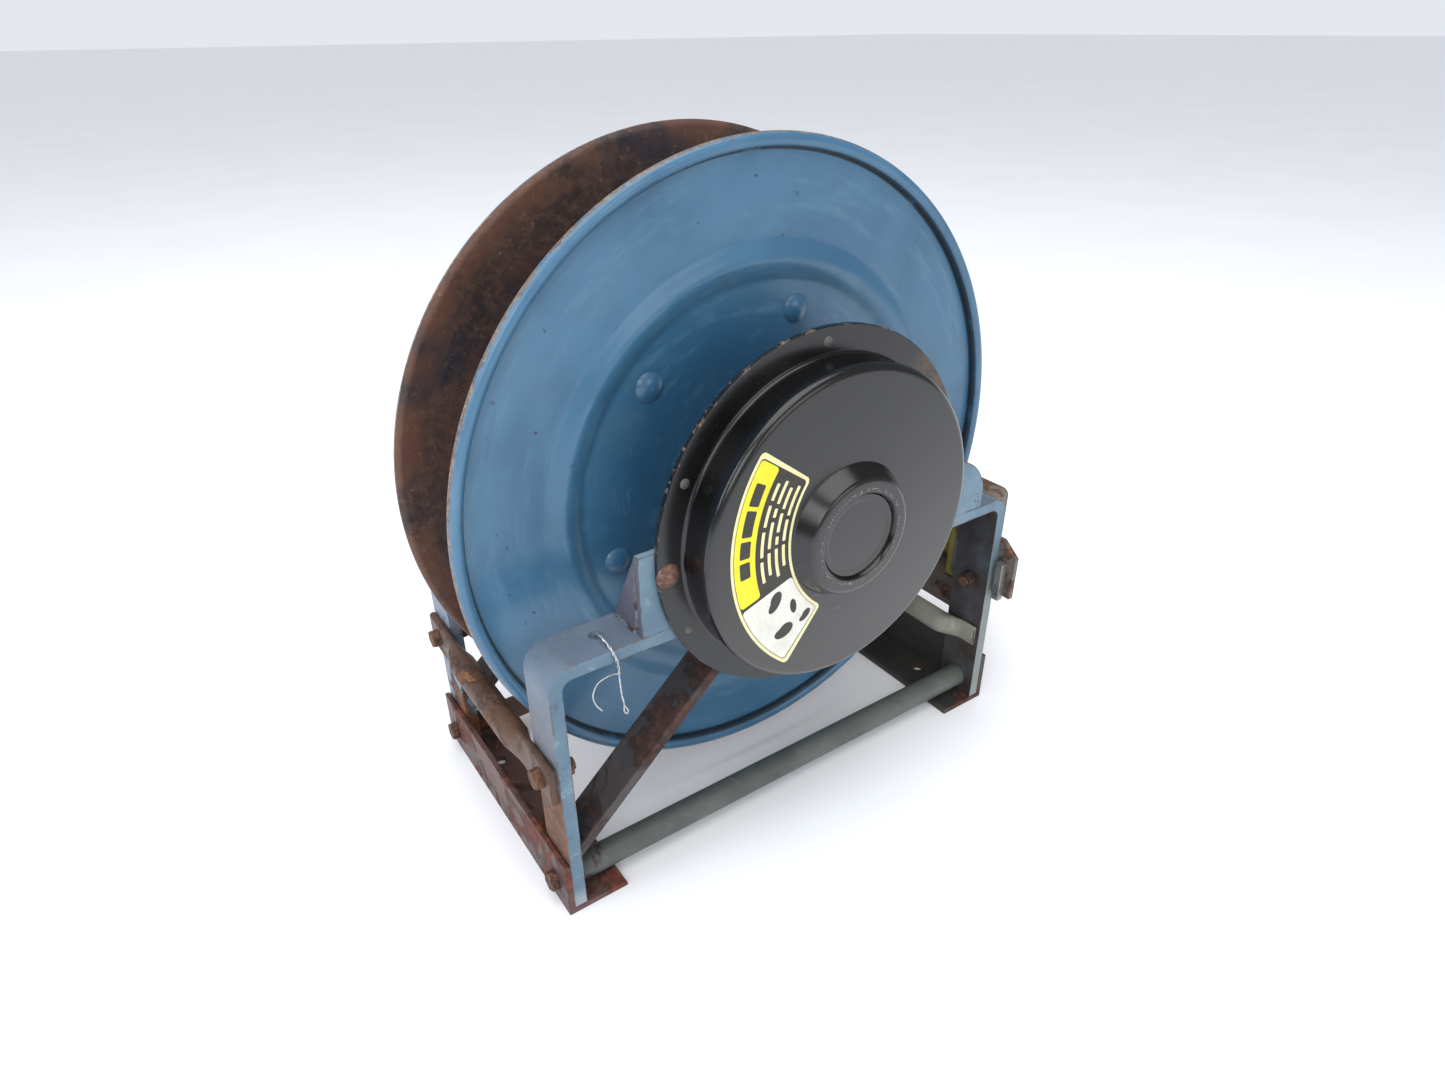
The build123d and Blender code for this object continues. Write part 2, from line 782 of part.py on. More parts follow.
tie_bolt = round_bolt(tie_radius, 11, 5, -2 * web_front + nut_height + 3)
tie_nut = hex_nut(tie_radius, bolt_flats, nut_height)
with BuildPart() as tie_bolts:
    with Locations(facing_front(web_front, axle_height)):
        with PolarLocations(tie_circle, 6, tie_angle):
            add(tie_bolt)
with BuildPart() as tie_nuts:
    with Locations(Plane(origin=(0, -web_front, axle_height), x_dir=(1, 0, 0), z_dir=(0, 1, 0))):
        with PolarLocations(tie_circle, 6, -tie_angle):
            add(tie_nut)

collar_y = -(hub_end + collar_width / 2)
with BuildPart() as axle_collars:
    with BuildSketch(PROFILE):
        with Locations((collar_y, (axle_radius + collar_radius) / 2)):
            Rectangle(collar_width, collar_radius - axle_radius)
    revolve(axis=AXLE)
    chamfer(axle_collars.edges().filter_by(GeomType.CIRCLE).group_by(SortBy.RADIUS)[-1], 0.8)
    with Locations((0, collar_y, axle_height + 20)):
        Cylinder(screw_radius, 14, mode=Mode.SUBTRACT)
    mirror(about=Plane.XZ)

with BuildPart() as spring_arbor:
    with BuildSketch(PROFILE):
        with Locations((arbor_y, (axle_radius + arbor_radius) / 2)):
            Rectangle(arbor_width, arbor_radius - axle_radius)
    revolve(axis=AXLE)
    with Locations((0, arbor_y, axle_height - arbor_radius - 1)):
        Box(10, 20, 8)
    with Locations((0, arbor_y, axle_height + axle_radius)):
        Box(key_size, 40, key_size, mode=Mode.SUBTRACT)

with BuildPart() as ratchet_wheel:
    with BuildSketch(facing_front(ratchet_back, axle_height)):
        with BuildLine():
            teeth = []
            for tooth in range(ratchet_teeth):
                start = radians(tooth_start + 360 / ratchet_teeth * tooth)
                teeth.append((ratchet_root * cos(start), ratchet_root * sin(start)))
                teeth.append((ratchet_outer * cos(start), ratchet_outer * sin(start)))
            Polyline(*teeth, close=True)
        make_face()
        Circle(axle_radius, mode=Mode.SUBTRACT)
    extrude(amount=ratchet_gauge)
    with BuildSketch(facing_front(ratchet_back + 5.5, axle_height)):
        Circle(24)
        Circle(axle_radius, mode=Mode.SUBTRACT)
    extrude(amount=5.5)
    with Locations((0, 133, axle_height + axle_radius)):
        Box(key_size, 20, key_size, mode=Mode.SUBTRACT)

with BuildPart() as outlet_riser:
    with BuildSketch(RISER.offset(axle_radius)):
        RegularPolygon(13, 6, major_radius=False)
    extrude(amount=12)
    with BuildLine(Plane(origin=(0, 0, axle_height), x_dir=riser_direction, z_dir=(0, -1, 0))) as path:
        FilletPolyline((axle_radius, 0), (riser_reach, 0), (riser_reach, riser_run), radius=riser_bend)
    with BuildSketch(RISER.offset(axle_radius)):
        Circle(side_tube_radius)
    sweep(path=path.line)
    with BuildSketch(RISER.offset(axle_radius)):
        Circle(side_tube_radius - side_tube_wall)
    sweep(path=path.line, mode=Mode.SUBTRACT)
    with BuildSketch(RISER.offset(axle_radius)):
        Circle(9)
        Circle(riser_bore, mode=Mode.SUBTRACT)
    extrude(amount=4)
    with BuildSketch(RISER.offset(spigot_start)):
        Circle(spigot_radius)
        Circle(riser_bore, mode=Mode.SUBTRACT)
    extrude(amount=axle_radius - spigot_start)
    mouth = Plane(origin=path.line @ 1, z_dir=path.line % 1)
    with BuildSketch(mouth.offset(-2)):
        Circle(outlet_radius)
        Circle(thread_bore, mode=Mode.SUBTRACT)
    extrude(amount=outlet_length)

# ---- pawl ----
with BuildPart() as pawl:
    with BuildSketch(facing_front(ratchet_back, axle_height)):
        with BuildLine():
            Polyline(
                (8.8, 38.2),
                (9.6, 46),
                (64, 55),
                (80, 51),
                (80, 38),
                (66, 35.5),
                (30, 37.2),
                close=True,
            )
        make_face()
        with Locations((pawl_x, pawl_rise)):
            Circle(12)
            Circle(pawl_pin_radius + running_gap, mode=Mode.SUBTRACT)
    extrude(amount=ratchet_gauge)
pawl_hinge = Axis((pawl_x, 0, axle_height + pawl_rise), (0, 1, 0))
pawl.part = pawl.part.rotate(pawl_hinge, pawl_lift)

with BuildPart() as pawl_pin:
    with Locations(Plane(origin=(pawl_x, -plate_back_y, axle_height + pawl_rise), z_dir=(0, 1, 0))):
        Cylinder(pawl_pin_radius, 17, align=FROM_START)
    with Locations(Plane(origin=(pawl_x, frame_outer_y, axle_height + pawl_rise), z_dir=(0, 1, 0))):
        Cylinder(pawl_pin_radius + 3, 2.2, align=FROM_START)
    with Locations(
        Plane(origin=(pawl_x, ratchet_back + 0.3, axle_height + pawl_rise), z_dir=(0, 1, 0))
    ):
        Cylinder(pawl_pin_radius + 3, 3, align=FROM_START)

# ---- swivel inlet ----
PORT = Plane(origin=(0, port_y, axle_height), z_dir=(0, 0, -1))
SCREW_SEATS = [
    Plane(origin=(side * swivel_radius, screw_y, axle_height), z_dir=(side, 0, 0)) for side in BOTH_SIDES
]
with BuildPart() as swivel_body:
    with BuildSketch(PROFILE):
        with BuildLine():
            FilletPolyline(
                (swivel_start, 0),
                (swivel_start, swivel_radius),
                (swivel_end, swivel_radius),
                (swivel_end, 0),
                radius=(0, 2, 4, 0),
                close=True,
            )
        make_face()
    revolve(axis=AXLE)
    with BuildSketch(PORT):
        RegularPolygon(15, 6, major_radius=False)
    extrude(amount=port_reach)
    with BuildSketch(PROFILE):
        with Locations(((swivel_start + axle_rear) / 2, (axle_radius + running_gap) / 2)):
            Rectangle(axle_rear - swivel_start, axle_radius + running_gap)
        with Locations(((axle_rear + cavity_end) / 2, cavity_radius / 2)):
            Rectangle(cavity_end - axle_rear, cavity_radius)
        with Locations([(y, cavity_radius) for y in seal_spots]):
            Rectangle(3.4, 4)
    revolve(axis=AXLE, mode=Mode.SUBTRACT)
    with BuildSketch(PORT):
        Circle(port_passage)
    extrude(amount=port_reach, mode=Mode.SUBTRACT)
    with BuildSketch(PORT.offset(port_reach)):
        Circle(thread_bore)
    extrude(amount=-thread_depth, mode=Mode.SUBTRACT)
    with Locations(*SCREW_SEATS):
        Hole(screw_radius, depth=12)

with BuildPart() as swivel_seals:
    with BuildSketch(PROFILE):
        with Locations([(y, cavity_radius - 0.2) for y in seal_spots]):
            Circle(1.7)
    revolve(axis=AXLE)

with BuildPart() as swivel_screws:
    with Locations(*SCREW_SEATS):
        Cylinder(screw_radius, 10.6, align=(Align.CENTER, Align.CENTER, Align.MAX))

# ---- hose guide ----
def guide_bracket():
    """Bent plate at the front leg: a flat on the leg, a web outwards and an arm behind the lip."""
    flat_x = frame_half_width
    arm_x = guide_near_x + angle_gauge
    web_y = -guide_half_depth - angle_gauge
    arm_end = -35
    arm_low = lip_low + 2
    arm_high = 85
    with BuildPart() as bracket:
        with BuildSketch(Plane.YZ.offset(flat_x)):
            with BuildLine():
                Polyline(
                    (bracket_front_y, bracket_low),
                    (bracket_front_y, bracket_high - 13),
                    (bracket_front_y + 16, bracket_high),
                    (-guide_half_depth, bracket_high),
                    (-guide_half_depth, bracket_low),
                    close=True,
                )
            make_face()
        extrude(amount=angle_gauge)
        with BuildSketch(facing_front(-guide_half_depth)):
            with BuildLine():
                Polyline(
                    (flat_x, bracket_high),
                    (arm_x + angle_gauge, 158),
                    (arm_x + angle_gauge, arm_low),
                    (arm_x - 12, arm_low),
                    (flat_x, bracket_low),
                    close=True,
                )
            make_face()
        extrude(amount=angle_gauge)
        with Locations((arm_x + angle_gauge / 2, (web_y + arm_end) / 2, (arm_low + arm_high) / 2)):
            Box(angle_gauge, arm_end - web_y, arm_high - arm_low)
        with Locations(Plane(origin=(flat_x + angle_gauge, -bolt_y, guide_bolt_z), z_dir=(1, 0, 0))):
            Hole(bolt_radius + hole_gap, depth=angle_gauge)
        with Locations(Plane(origin=(arm_x + angle_gauge, -upright_roller_y, lip_bolt_z), z_dir=(1, 0, 0))):
            Hole(bolt_radius + hole_gap, depth=angle_gauge)
    return bracket


guide_front_bracket = guide_bracket()
with BuildPart() as guide_rear_bracket:
    mirror(guide_front_bracket.part, about=Plane.XZ)

guide_width = guide_far_x - guide_near_x
with BuildPart() as guide_frame:
    with BuildSketch(Plane.YZ.offset(guide_near_x)) as ring:
        with Locations((0, (guide_low + guide_high) / 2)):
            Rectangle(2 * guide_half_depth, guide_high - guide_low)
            fillet(ring.vertices(), 7)
        with Locations((0, (guide_low + guide_high) / 2)):
            Rectangle(
                2 * (guide_half_depth - angle_gauge),
                guide_high - guide_low - 2 * angle_gauge,
                mode=Mode.SUBTRACT,
            )
    extrude(amount=guide_width)
    with Locations((guide_near_x + angle_gauge / 2, 0, (lip_low + guide_low + 2) / 2)):
        Box(angle_gauge, 2 * 70, guide_low + 2 - lip_low)
    for y in (-upright_roller_y, upright_roller_y):
        with Locations((upright_roller_x, y, (guide_low + guide_high) / 2)):
            Cylinder(roller_pin, 2 * guide_high, mode=Mode.SUBTRACT)
        with Locations(Plane(origin=(guide_near_x + angle_gauge, y, lip_bolt_z), z_dir=(1, 0, 0))):
            Hole(bolt_radius + hole_gap, depth=angle_gauge)
    for z in (level_roller_low, level_roller_high):
        with Locations(Plane(origin=(level_roller_x, 0, z), z_dir=(0, 1, 0))):
            Cylinder(roller_pin, 4 * guide_half_depth, mode=Mode.SUBTRACT)

upright_length = guide_high - guide_low + 6
level_length = 2 * guide_half_depth + 6
with BuildPart() as guide_roller_pins:
    for y in (-upright_roller_y, upright_roller_y):
        with Locations((upright_roller_x, y, guide_low - 3)):
            Cylinder(roller_pin, upright_length, align=FROM_START)
        with Locations((upright_roller_x, y, guide_high)):
            Cylinder(roller_pin + 3, 3, align=FROM_START)
    for z in (level_roller_low, level_roller_high):
        with Locations(Plane(origin=(level_roller_x, 0, z), z_dir=(0, 1, 0))):
            Cylinder(roller_pin, level_length)
        with Locations(Plane(origin=(level_roller_x, guide_half_depth, z), z_dir=(0, 1, 0))):
            Cylinder(roller_pin + 3, 3, align=FROM_START)


def roller(seat, length):
    """Moulded roller on its pin, its ends rounded over."""
    with BuildPart() as body:
        with Locations(seat):
            Cylinder(roller_radius, length)
            Cylinder(pin_hole, length, mode=Mode.SUBTRACT)
        rims = body.edges().filter_by(GeomType.CIRCLE).group_by(SortBy.RADIUS)[-1]
        fillet(rims, 1.5)
    return body


roller_middle = (guide_low + guide_high) / 2
upright_roller = guide_high - guide_low - 2 * angle_gauge - 3
level_roller = 2 * (guide_half_depth - angle_gauge) - 3
front_guide_roller = roller(Plane((upright_roller_x, -upright_roller_y, roller_middle)), upright_roller)
rear_guide_roller = roller(Plane((upright_roller_x, upright_roller_y, roller_middle)), upright_roller)
lower_guide_roller = roller(
    Plane(origin=(level_roller_x, 0, level_roller_low), z_dir=(0, 1, 0)), level_roller
)
upper_guide_roller = roller(
    Plane(origin=(level_roller_x, 0, level_roller_high), z_dir=(0, 1, 0)), level_roller
)

leg_bolt = hex_bolt(bolt_radius, bolt_flats, bolt_head, angle_gauge + bar_gauge + nut_height + 2)
lip_bolt = round_bolt(bolt_radius, 9, 5, 2 * angle_gauge + nut_height + 2)
with BuildPart() as guide_bolts:
    for side in BOTH_SIDES:
        with Locations(
            Plane(origin=(frame_half_width + angle_gauge, side * bolt_y, guide_bolt_z), z_dir=(1, 0, 0))
        ):
            add(leg_bolt)
        with Locations(Plane(origin=(guide_near_x, side * upright_roller_y, lip_bolt_z), z_dir=(-1, 0, 0))):
            add(lip_bolt)
with BuildPart() as guide_nuts:
    for side in BOTH_SIDES:
        with Locations(Plane(origin=(leg_inner_x, side * bolt_y, guide_bolt_z), z_dir=(-1, 0, 0))):
            add(tab_nut)
        with Locations(
            Plane(
                origin=(guide_near_x + 2 * angle_gauge, side * upright_roller_y, lip_bolt_z),
                z_dir=(1, 0, 0),
            )
        ):
            add(tab_nut)

with BuildPart() as guide_clip:
    with Locations((frame_half_width - 3.5, -131.5, 142)):
        Box(7, 8, 38)
    fillet(guide_clip.edges().filter_by(Axis.Z), 1)

# ---- output ----
pieces = {
    "front_frame": front_frame,
    "rear_frame": rear_frame,
    "left_base_angle": left_base_angle,
    "right_base_angle": right_base_angle,
    "front_cross_tube": front_cross_tube,
    "rear_cross_tube": rear_cross_tube,
    "front_diagonal_brace": front_diagonal_brace,
    "rear_diagonal_brace": rear_diagonal_brace,
    "left_side_tube": left_side_tube,
    "right_side_tube": right_side_tube,
    "base_bolts": base_bolts,
    "side_tube_bolts": side_tube_bolts,
    "side_tube_nuts": side_tube_nuts,
    "front_bearing_bracket": front_bearing_bracket,
    "rear_bearing_bracket": rear_bearing_bracket,
    "front_bearing_housing": front_bearing_housing,
    "rear_bearing_housing": rear_bearing_housing,
    "bearing_bushes": bearing_bushes,
    "bearing_bolts": bearing_bolts,
    "bearing_nuts": bearing_nuts,
    "spring_housing_back_plate": spring_housing_back_plate,
    "spring_housing_cover": spring_housing_cover,
    "housing_cap": housing_cap,
    "housing_rivets": housing_rivets,
    "housing_bolts": housing_bolts,
    "housing_nuts": housing_nuts,
    "label_plate": label_plate,
    "power_spring": power_spring,
    "front_disc": front_disc,
    "rear_disc": rear_disc,
    "drum_core": drum_core,
    "axle": axle,
    "axle_keys": axle_keys,
    "front_hub": front_hub,
    "rear_hub": rear_hub,
    "hub_bolts": hub_bolts,
    "hub_nuts": hub_nuts,
    "tie_bolts": tie_bolts,
    "tie_nuts": tie_nuts,
    "axle_collars": axle_collars,
    "spring_arbor": spring_arbor,
    "ratchet_wheel": ratchet_wheel,
    "outlet_riser": outlet_riser,
    "pawl": pawl,
    "pawl_pin": pawl_pin,
    "swivel_body": swivel_body,
    "swivel_seals": swivel_seals,
    "swivel_screws": swivel_screws,
    "guide_front_bracket": guide_front_bracket,
    "guide_rear_bracket": guide_rear_bracket,
    "guide_frame": guide_frame,
    "guide_roller_pins": guide_roller_pins,
    "guide_bolts": guide_bolts,
    "guide_nuts": guide_nuts,
    "guide_clip": guide_clip,
    "front_guide_roller": front_guide_roller,
    "rear_guide_roller": rear_guide_roller,
    "lower_guide_roller": lower_guide_roller,
    "upper_guide_roller": upper_guide_roller,
}

os.makedirs("parts", exist_ok=True)
for name, piece in pieces.items():
    piece.part.label = name
    export_step(piece.part, f"parts/{name}.step")
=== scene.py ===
import math

import bmesh
import bpy
from mathutils import Matrix, Vector, noise


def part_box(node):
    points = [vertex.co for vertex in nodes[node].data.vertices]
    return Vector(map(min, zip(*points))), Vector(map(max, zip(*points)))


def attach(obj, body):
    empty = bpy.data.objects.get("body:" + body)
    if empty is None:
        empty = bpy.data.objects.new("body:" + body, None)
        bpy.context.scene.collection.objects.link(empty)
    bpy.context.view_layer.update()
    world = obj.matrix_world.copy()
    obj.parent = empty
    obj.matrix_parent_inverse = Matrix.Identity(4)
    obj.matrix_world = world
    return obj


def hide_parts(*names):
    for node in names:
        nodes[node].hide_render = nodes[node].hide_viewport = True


# Hose reel with a spring housing. Metres, X to the right, Y to the rear, Z up.
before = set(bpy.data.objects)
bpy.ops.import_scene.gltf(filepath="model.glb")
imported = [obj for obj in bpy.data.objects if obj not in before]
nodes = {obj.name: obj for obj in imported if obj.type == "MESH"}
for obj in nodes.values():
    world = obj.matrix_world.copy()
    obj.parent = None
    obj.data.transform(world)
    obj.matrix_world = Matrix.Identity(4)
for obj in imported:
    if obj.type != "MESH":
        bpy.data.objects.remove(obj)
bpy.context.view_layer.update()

disc_low, disc_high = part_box("front_disc")
AXLE_Z = (disc_low.z + disc_high.z) / 2
DISC_RADIUS = (disc_high.x - disc_low.x) / 2
DISC_FRONT = disc_low.y
housing_low, housing_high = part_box("spring_housing_cover")
HOUSING_FRONT = housing_low.y
HOUSING_BACK = housing_high.y
FLANGE_RADIUS = (housing_high.x - housing_low.x) / 2
BAR_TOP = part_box("front_frame")[1].z
TURN = 2 * math.pi


# ---- materials ----
def linear(red, green, blue):
    """A colour given as 0 to 255 on a screen, as the linear colour that nodes take."""

    def channel(value):
        value = value / 255
        return value / 12.92 if value <= 0.04045 else ((value + 0.055) / 1.055) ** 2.4

    return (channel(red), channel(green), channel(blue), 1.0)


class Graph:
    """Short calls that build one material's node tree. Values are numbers, colours or sockets."""

    def __init__(self, name):
        self.material = bpy.data.materials.new(name)
        self.material.use_nodes = True
        self.tree = self.material.node_tree
        self.tree.nodes.clear()
        place = self.add("ShaderNodeTexCoord")
        self.place = place.outputs["Object"]
        self.facing = place.outputs["Normal"]
        parts = self.add("ShaderNodeSeparateXYZ", {"Vector": self.place})
        self.x, self.y, self.z = parts.outputs
        facing = self.add("ShaderNodeSeparateXYZ", {"Vector": self.facing})
        self.face_x, self.face_y, self.face_z = facing.outputs

    def feed(self, socket, value):
        if isinstance(value, bpy.types.NodeSocket):
            self.tree.links.new(value, socket)
        else:
            socket.default_value = value

    def add(self, kind, inputs=None, **settings):
        node = self.tree.nodes.new(kind)
        for key, value in settings.items():
            setattr(node, key, value)
        for key, value in (inputs or {}).items():
            self.feed(node.inputs[key], value)
        return node

    def math(self, operation, *values, clamp=False):
        node = self.add("ShaderNodeMath", operation=operation, use_clamp=clamp)
        for index, value in enumerate(values):
            self.feed(node.inputs[index], value)
        return node.outputs[0]

    def radius(self):
        """Distance from the axle's line."""
        height = self.math("SUBTRACT", self.z, AXLE_Z)
        across = self.math("MULTIPLY", self.x, self.x)
        squares = self.math("ADD", across, self.math("MULTIPLY", height, height))
        return self.math("SQRT", squares)

    def angle(self):
        """Angle about the axle's line, in radians."""
        return self.math("ARCTAN2", self.math("SUBTRACT", self.z, AXLE_Z), self.x)

    def vector(self, x, y, z):
        return self.add("ShaderNodeCombineXYZ", {0: x, 1: y, 2: z}).outputs[0]

    def noise(self, scale, detail=3.0, rough=0.55, twist=0.0, at=None):
        inputs = {"Vector": at or self.place, "Scale": scale, "Detail": detail}
        inputs |= {"Roughness": rough, "Distortion": twist}
        return self.add("ShaderNodeTexNoise", inputs).outputs["Fac"]

    def step(self, value, low, high, top=1.0):
        """0 below low and top above high, smooth between; low above high turns it round."""
        inputs = {"Value": value, "From Min": low, "From Max": high, "To Min": 0.0, "To Max": top}
        return self.add("ShaderNodeMapRange", inputs, interpolation_type="SMOOTHSTEP").outputs[0]

    def span(self, value, low, high):
        """Linear from low to high as value goes 0 to 1."""
        return self.add("ShaderNodeMapRange", {"Value": value, "To Min": low, "To Max": high}).outputs[0]

    def both(self, *values):
        total = values[0]
        for value in values[1:]:
            total = self.math("MULTIPLY", total, value)
        return total

    def either(self, *values):
        total = values[0]
        for value in values[1:]:
            total = self.math("MAXIMUM", total, value)
        return total

    def where(self, conditions):
        """1 where every condition (axis, low, high) holds; the axes are x y z and nx ny nz."""
        held = 1.0
        for axis, low, high in conditions:
            value = {
                "x": self.x,
                "y": self.y,
                "z": self.z,
                "nx": self.face_x,
                "ny": self.face_y,
                "nz": self.face_z,
            }[axis]
            held = self.both(held, self.step(value, low, high))
        return held

    def mix(self, factor, first, second):
        node = self.add("ShaderNodeMix", data_type="RGBA")
        self.feed(node.inputs[0], factor)
        self.feed(node.inputs[6], first)
        self.feed(node.inputs[7], second)
        return node.outputs[2]

    def blend_value(self, factor, first, second):
        node = self.add("ShaderNodeMix", data_type="FLOAT")
        self.feed(node.inputs[0], factor)
        self.feed(node.inputs[2], first)
        self.feed(node.inputs[3], second)
        return node.outputs[0]

    def edge(self, width):
        """1 along convex and concave edges, falling to 0 about width away from them."""
        soft = self.add("ShaderNodeBevel", {"Radius": width}, samples=4).outputs[0]
        hard = self.add("ShaderNodeNewGeometry").outputs["Normal"]
        agree = self.add("ShaderNodeVectorMath", {0: soft, 1: hard}, operation="DOT_PRODUCT").outputs["Value"]
        return self.step(agree, 0.995, 0.93)

    def surface(self, colour, rough, metal=0.0, height=None, depth=0.0004, coat=0.0, specular=0.5):
        inputs = {
            "Base Color": colour,
            "Roughness": rough,
            "Metallic": metal,
            "Coat Weight": coat,
            "Coat Roughness": 0.18,
            "Specular IOR Level": specular,
        }
        shader = self.add("ShaderNodeBsdfPrincipled", inputs)
        if height is not None:
            bump = self.add("ShaderNodeBump", {"Height": height, "Distance": depth, "Strength": 1.0})
            self.tree.links.new(bump.outputs[0], shader.inputs["Normal"])
        output = self.add("ShaderNodeOutputMaterial")
        self.tree.links.new(shader.outputs[0], output.inputs["Surface"])
        return self.material


def rust_colour(g, dark, middle, bright, scale=60.0):
    """Mottled rust: three colours mixed by coarse and fine noise."""
    coarse = g.step(g.noise(scale * 0.35, 4.0, 0.6, 0.4), 0.38, 0.62)
    fine = g.step(g.noise(scale * 2.2, 5.0, 0.7), 0.42, 0.66)
    base = g.mix(coarse, linear(*dark), linear(*middle))
    return g.mix(g.both(fine, 0.75), base, linear(*bright))


def worn_paint(name, paints, rusts, amount=0.5, edges=0.8, zones=(), tints=(), scale=28.0):
    """Paint over rusted steel.

    A zone is (share, condition, ...): rust grows by share where every condition holds.
    A tint is (colour, share, condition, ...): that colour lies over paint and rust alike.
    A condition is (axis, low, high): none at low, whole at high.
    """
    g = Graph(name)
    mask = g.math("ADD", g.noise(scale, 5.0, 0.62, 0.3), amount - 0.5)
    for share, *conditions in zones:
        mask = g.math("ADD", mask, g.both(g.where(conditions), share))
    if edges:
        wear = g.both(g.edge(0.0022), g.step(g.noise(scale * 2.4, 3.0), 0.40, 0.60), edges * 0.42)
        mask = g.math("ADD", mask, wear)
    rust_mask = g.step(mask, 0.585, 0.64)
    tone = g.step(g.noise(scale * 0.45, 3.0, 0.6), 0.35, 0.65)
    paint = g.mix(tone, linear(*paints[0]), linear(*paints[1]))
    scuff = g.step(g.noise(scale * 3.1, 4.0, 0.65), 0.58, 0.70, 0.4)
    paint = g.mix(scuff, paint, linear(*paints[2]))
    grime = g.step(g.noise(scale * 1.3, 6.0, 0.75), 0.55, 0.75, 0.5)
    paint = g.mix(grime, paint, linear(52, 50, 52))
    colour = g.mix(rust_mask, paint, rust_colour(g, *rusts))
    rim = g.both(g.step(mask, 0.56, 0.60), g.step(mask, 0.66, 0.61), 0.6)
    colour = g.mix(rim, colour, linear(44, 32, 28))
    patchy = g.span(g.noise(scale * 1.7, 5.0, 0.7), 0.55, 1.35)
    for tint, share, *conditions in tints:
        cover = g.math("MULTIPLY", g.both(g.where(conditions), share), patchy, clamp=True)
        colour = g.mix(cover, colour, linear(*tint))
    grain = g.both(g.noise(900.0, 3.0, 0.6), g.blend_value(rust_mask, 0.12, 0.5))
    height = g.math("ADD", grain, g.both(g.step(mask, 0.585, 0.60), -0.55))
    finish = g.math("ADD", g.blend_value(rust_mask, 0.5, 0.82), g.span(g.noise(120.0), -0.1, 0.1))
    return g.surface(colour, finish, 0.0, height, 0.0003)


def bare_rust(name, dark, middle, bright, rough, scale, metal):
    """Rusted steel with no paint left: mottled, smeared with the dark colour, rough to the touch."""
    g = Graph(name)
    colour = rust_colour(g, dark, middle, bright, scale)
    smear = g.step(g.noise(scale * 0.25, 3.0, 0.5), 0.45, 0.7, 0.5)
    colour = g.mix(smear, colour, linear(*dark))
    height = g.math("ADD", g.noise(700.0, 4.0, 0.65), g.noise(150.0, 3.0))
    finish = g.math("ADD", g.span(g.noise(scale), -0.14, 0.14), rough)
    return g.surface(colour, finish, metal, height, 0.00035)


def disc_paint(name):
    """Satin blue sheet steel: painted shade towards the housing, at the rib's inner foot and in the groove
    inside the rim; a worn rim, a few chips and scuffs.
    """
    g = Graph(name)
    r = g.radius()
    tone = g.step(g.noise(7.0, 4.0, 0.6, 0.5), 0.34, 0.68)
    colour = g.mix(tone, linear(50, 94, 124), linear(68, 112, 142))
    # Painted shade: the disc darker towards the housing, where the housing's shade falls on it.
    inner = g.step(r, 0.165, 0.105, 0.7)
    colour = g.mix(inner, colour, linear(34, 76, 108))
    streaks = g.noise(30.0, 4.0, 0.6, 0.0, g.vector(g.both(r, 4.0), g.both(g.angle(), 0.12), g.y))
    colour = g.mix(g.step(streaks, 0.52, 0.74, 0.3), colour, linear(98, 136, 158))
    dull = g.step(g.noise(16.0, 6.0, 0.7, 0.2), 0.52, 0.74, 0.4)
    colour = g.mix(dull, colour, linear(74, 104, 122))
    # Painted shade in the groove between the rolled bead and the web, broken up by noise.
    groove_shade = g.both(g.step(r, 0.2378, 0.2388), g.step(r, 0.2415, 0.2405))
    groove_shade = g.both(groove_shade, g.step(g.noise(40.0, 3.0), 0.2, 0.45))
    colour = g.mix(g.both(groove_shade, 0.85), colour, linear(28, 34, 38))
    # Painted shade along the inner foot of the raised rib.
    rib_foot_shade = g.both(g.step(r, 0.1490, 0.1525), g.step(r, 0.158, 0.155), 0.28)
    colour = g.mix(rib_foot_shade, colour, linear(34, 66, 90))
    specks = g.step(g.noise(170.0, 3.0, 0.55), 0.70, 0.73)
    chips = g.both(specks, g.step(g.noise(10.0, 2.0), 0.54, 0.62))
    colour = g.mix(g.both(chips, 0.8), colour, linear(52, 46, 44))
    depth = g.math("ABSOLUTE", g.y)
    rim = g.both(g.step(r, 0.2455, 0.2480), g.step(depth, 0.0582, 0.0552))
    patchy = g.step(g.noise(50.0, 5.0, 0.7), 0.30, 0.52)
    rust = rust_colour(g, (84, 70, 60), (112, 98, 84), (150, 138, 122), 140.0)
    colour = g.mix(g.both(rim, patchy, 0.95), colour, rust)
    bead = g.both(g.step(r, 0.2385, 0.2415), g.step(g.noise(70.0, 5.0, 0.75), 0.60, 0.68), 0.7)
    colour = g.mix(bead, colour, linear(96, 76, 62))
    height = g.math("ADD", g.both(g.noise(420.0, 2.0), 0.35), g.both(chips, -0.8))
    finish = g.math("ADD", g.span(g.noise(26.0, 5.0, 0.7), -0.10, 0.14), 0.32)
    finish = g.blend_value(g.either(g.both(rim, patchy), groove_shade), finish, 0.75)
    return g.surface(colour, finish, 0.0, height, 0.00022, coat=0.3)


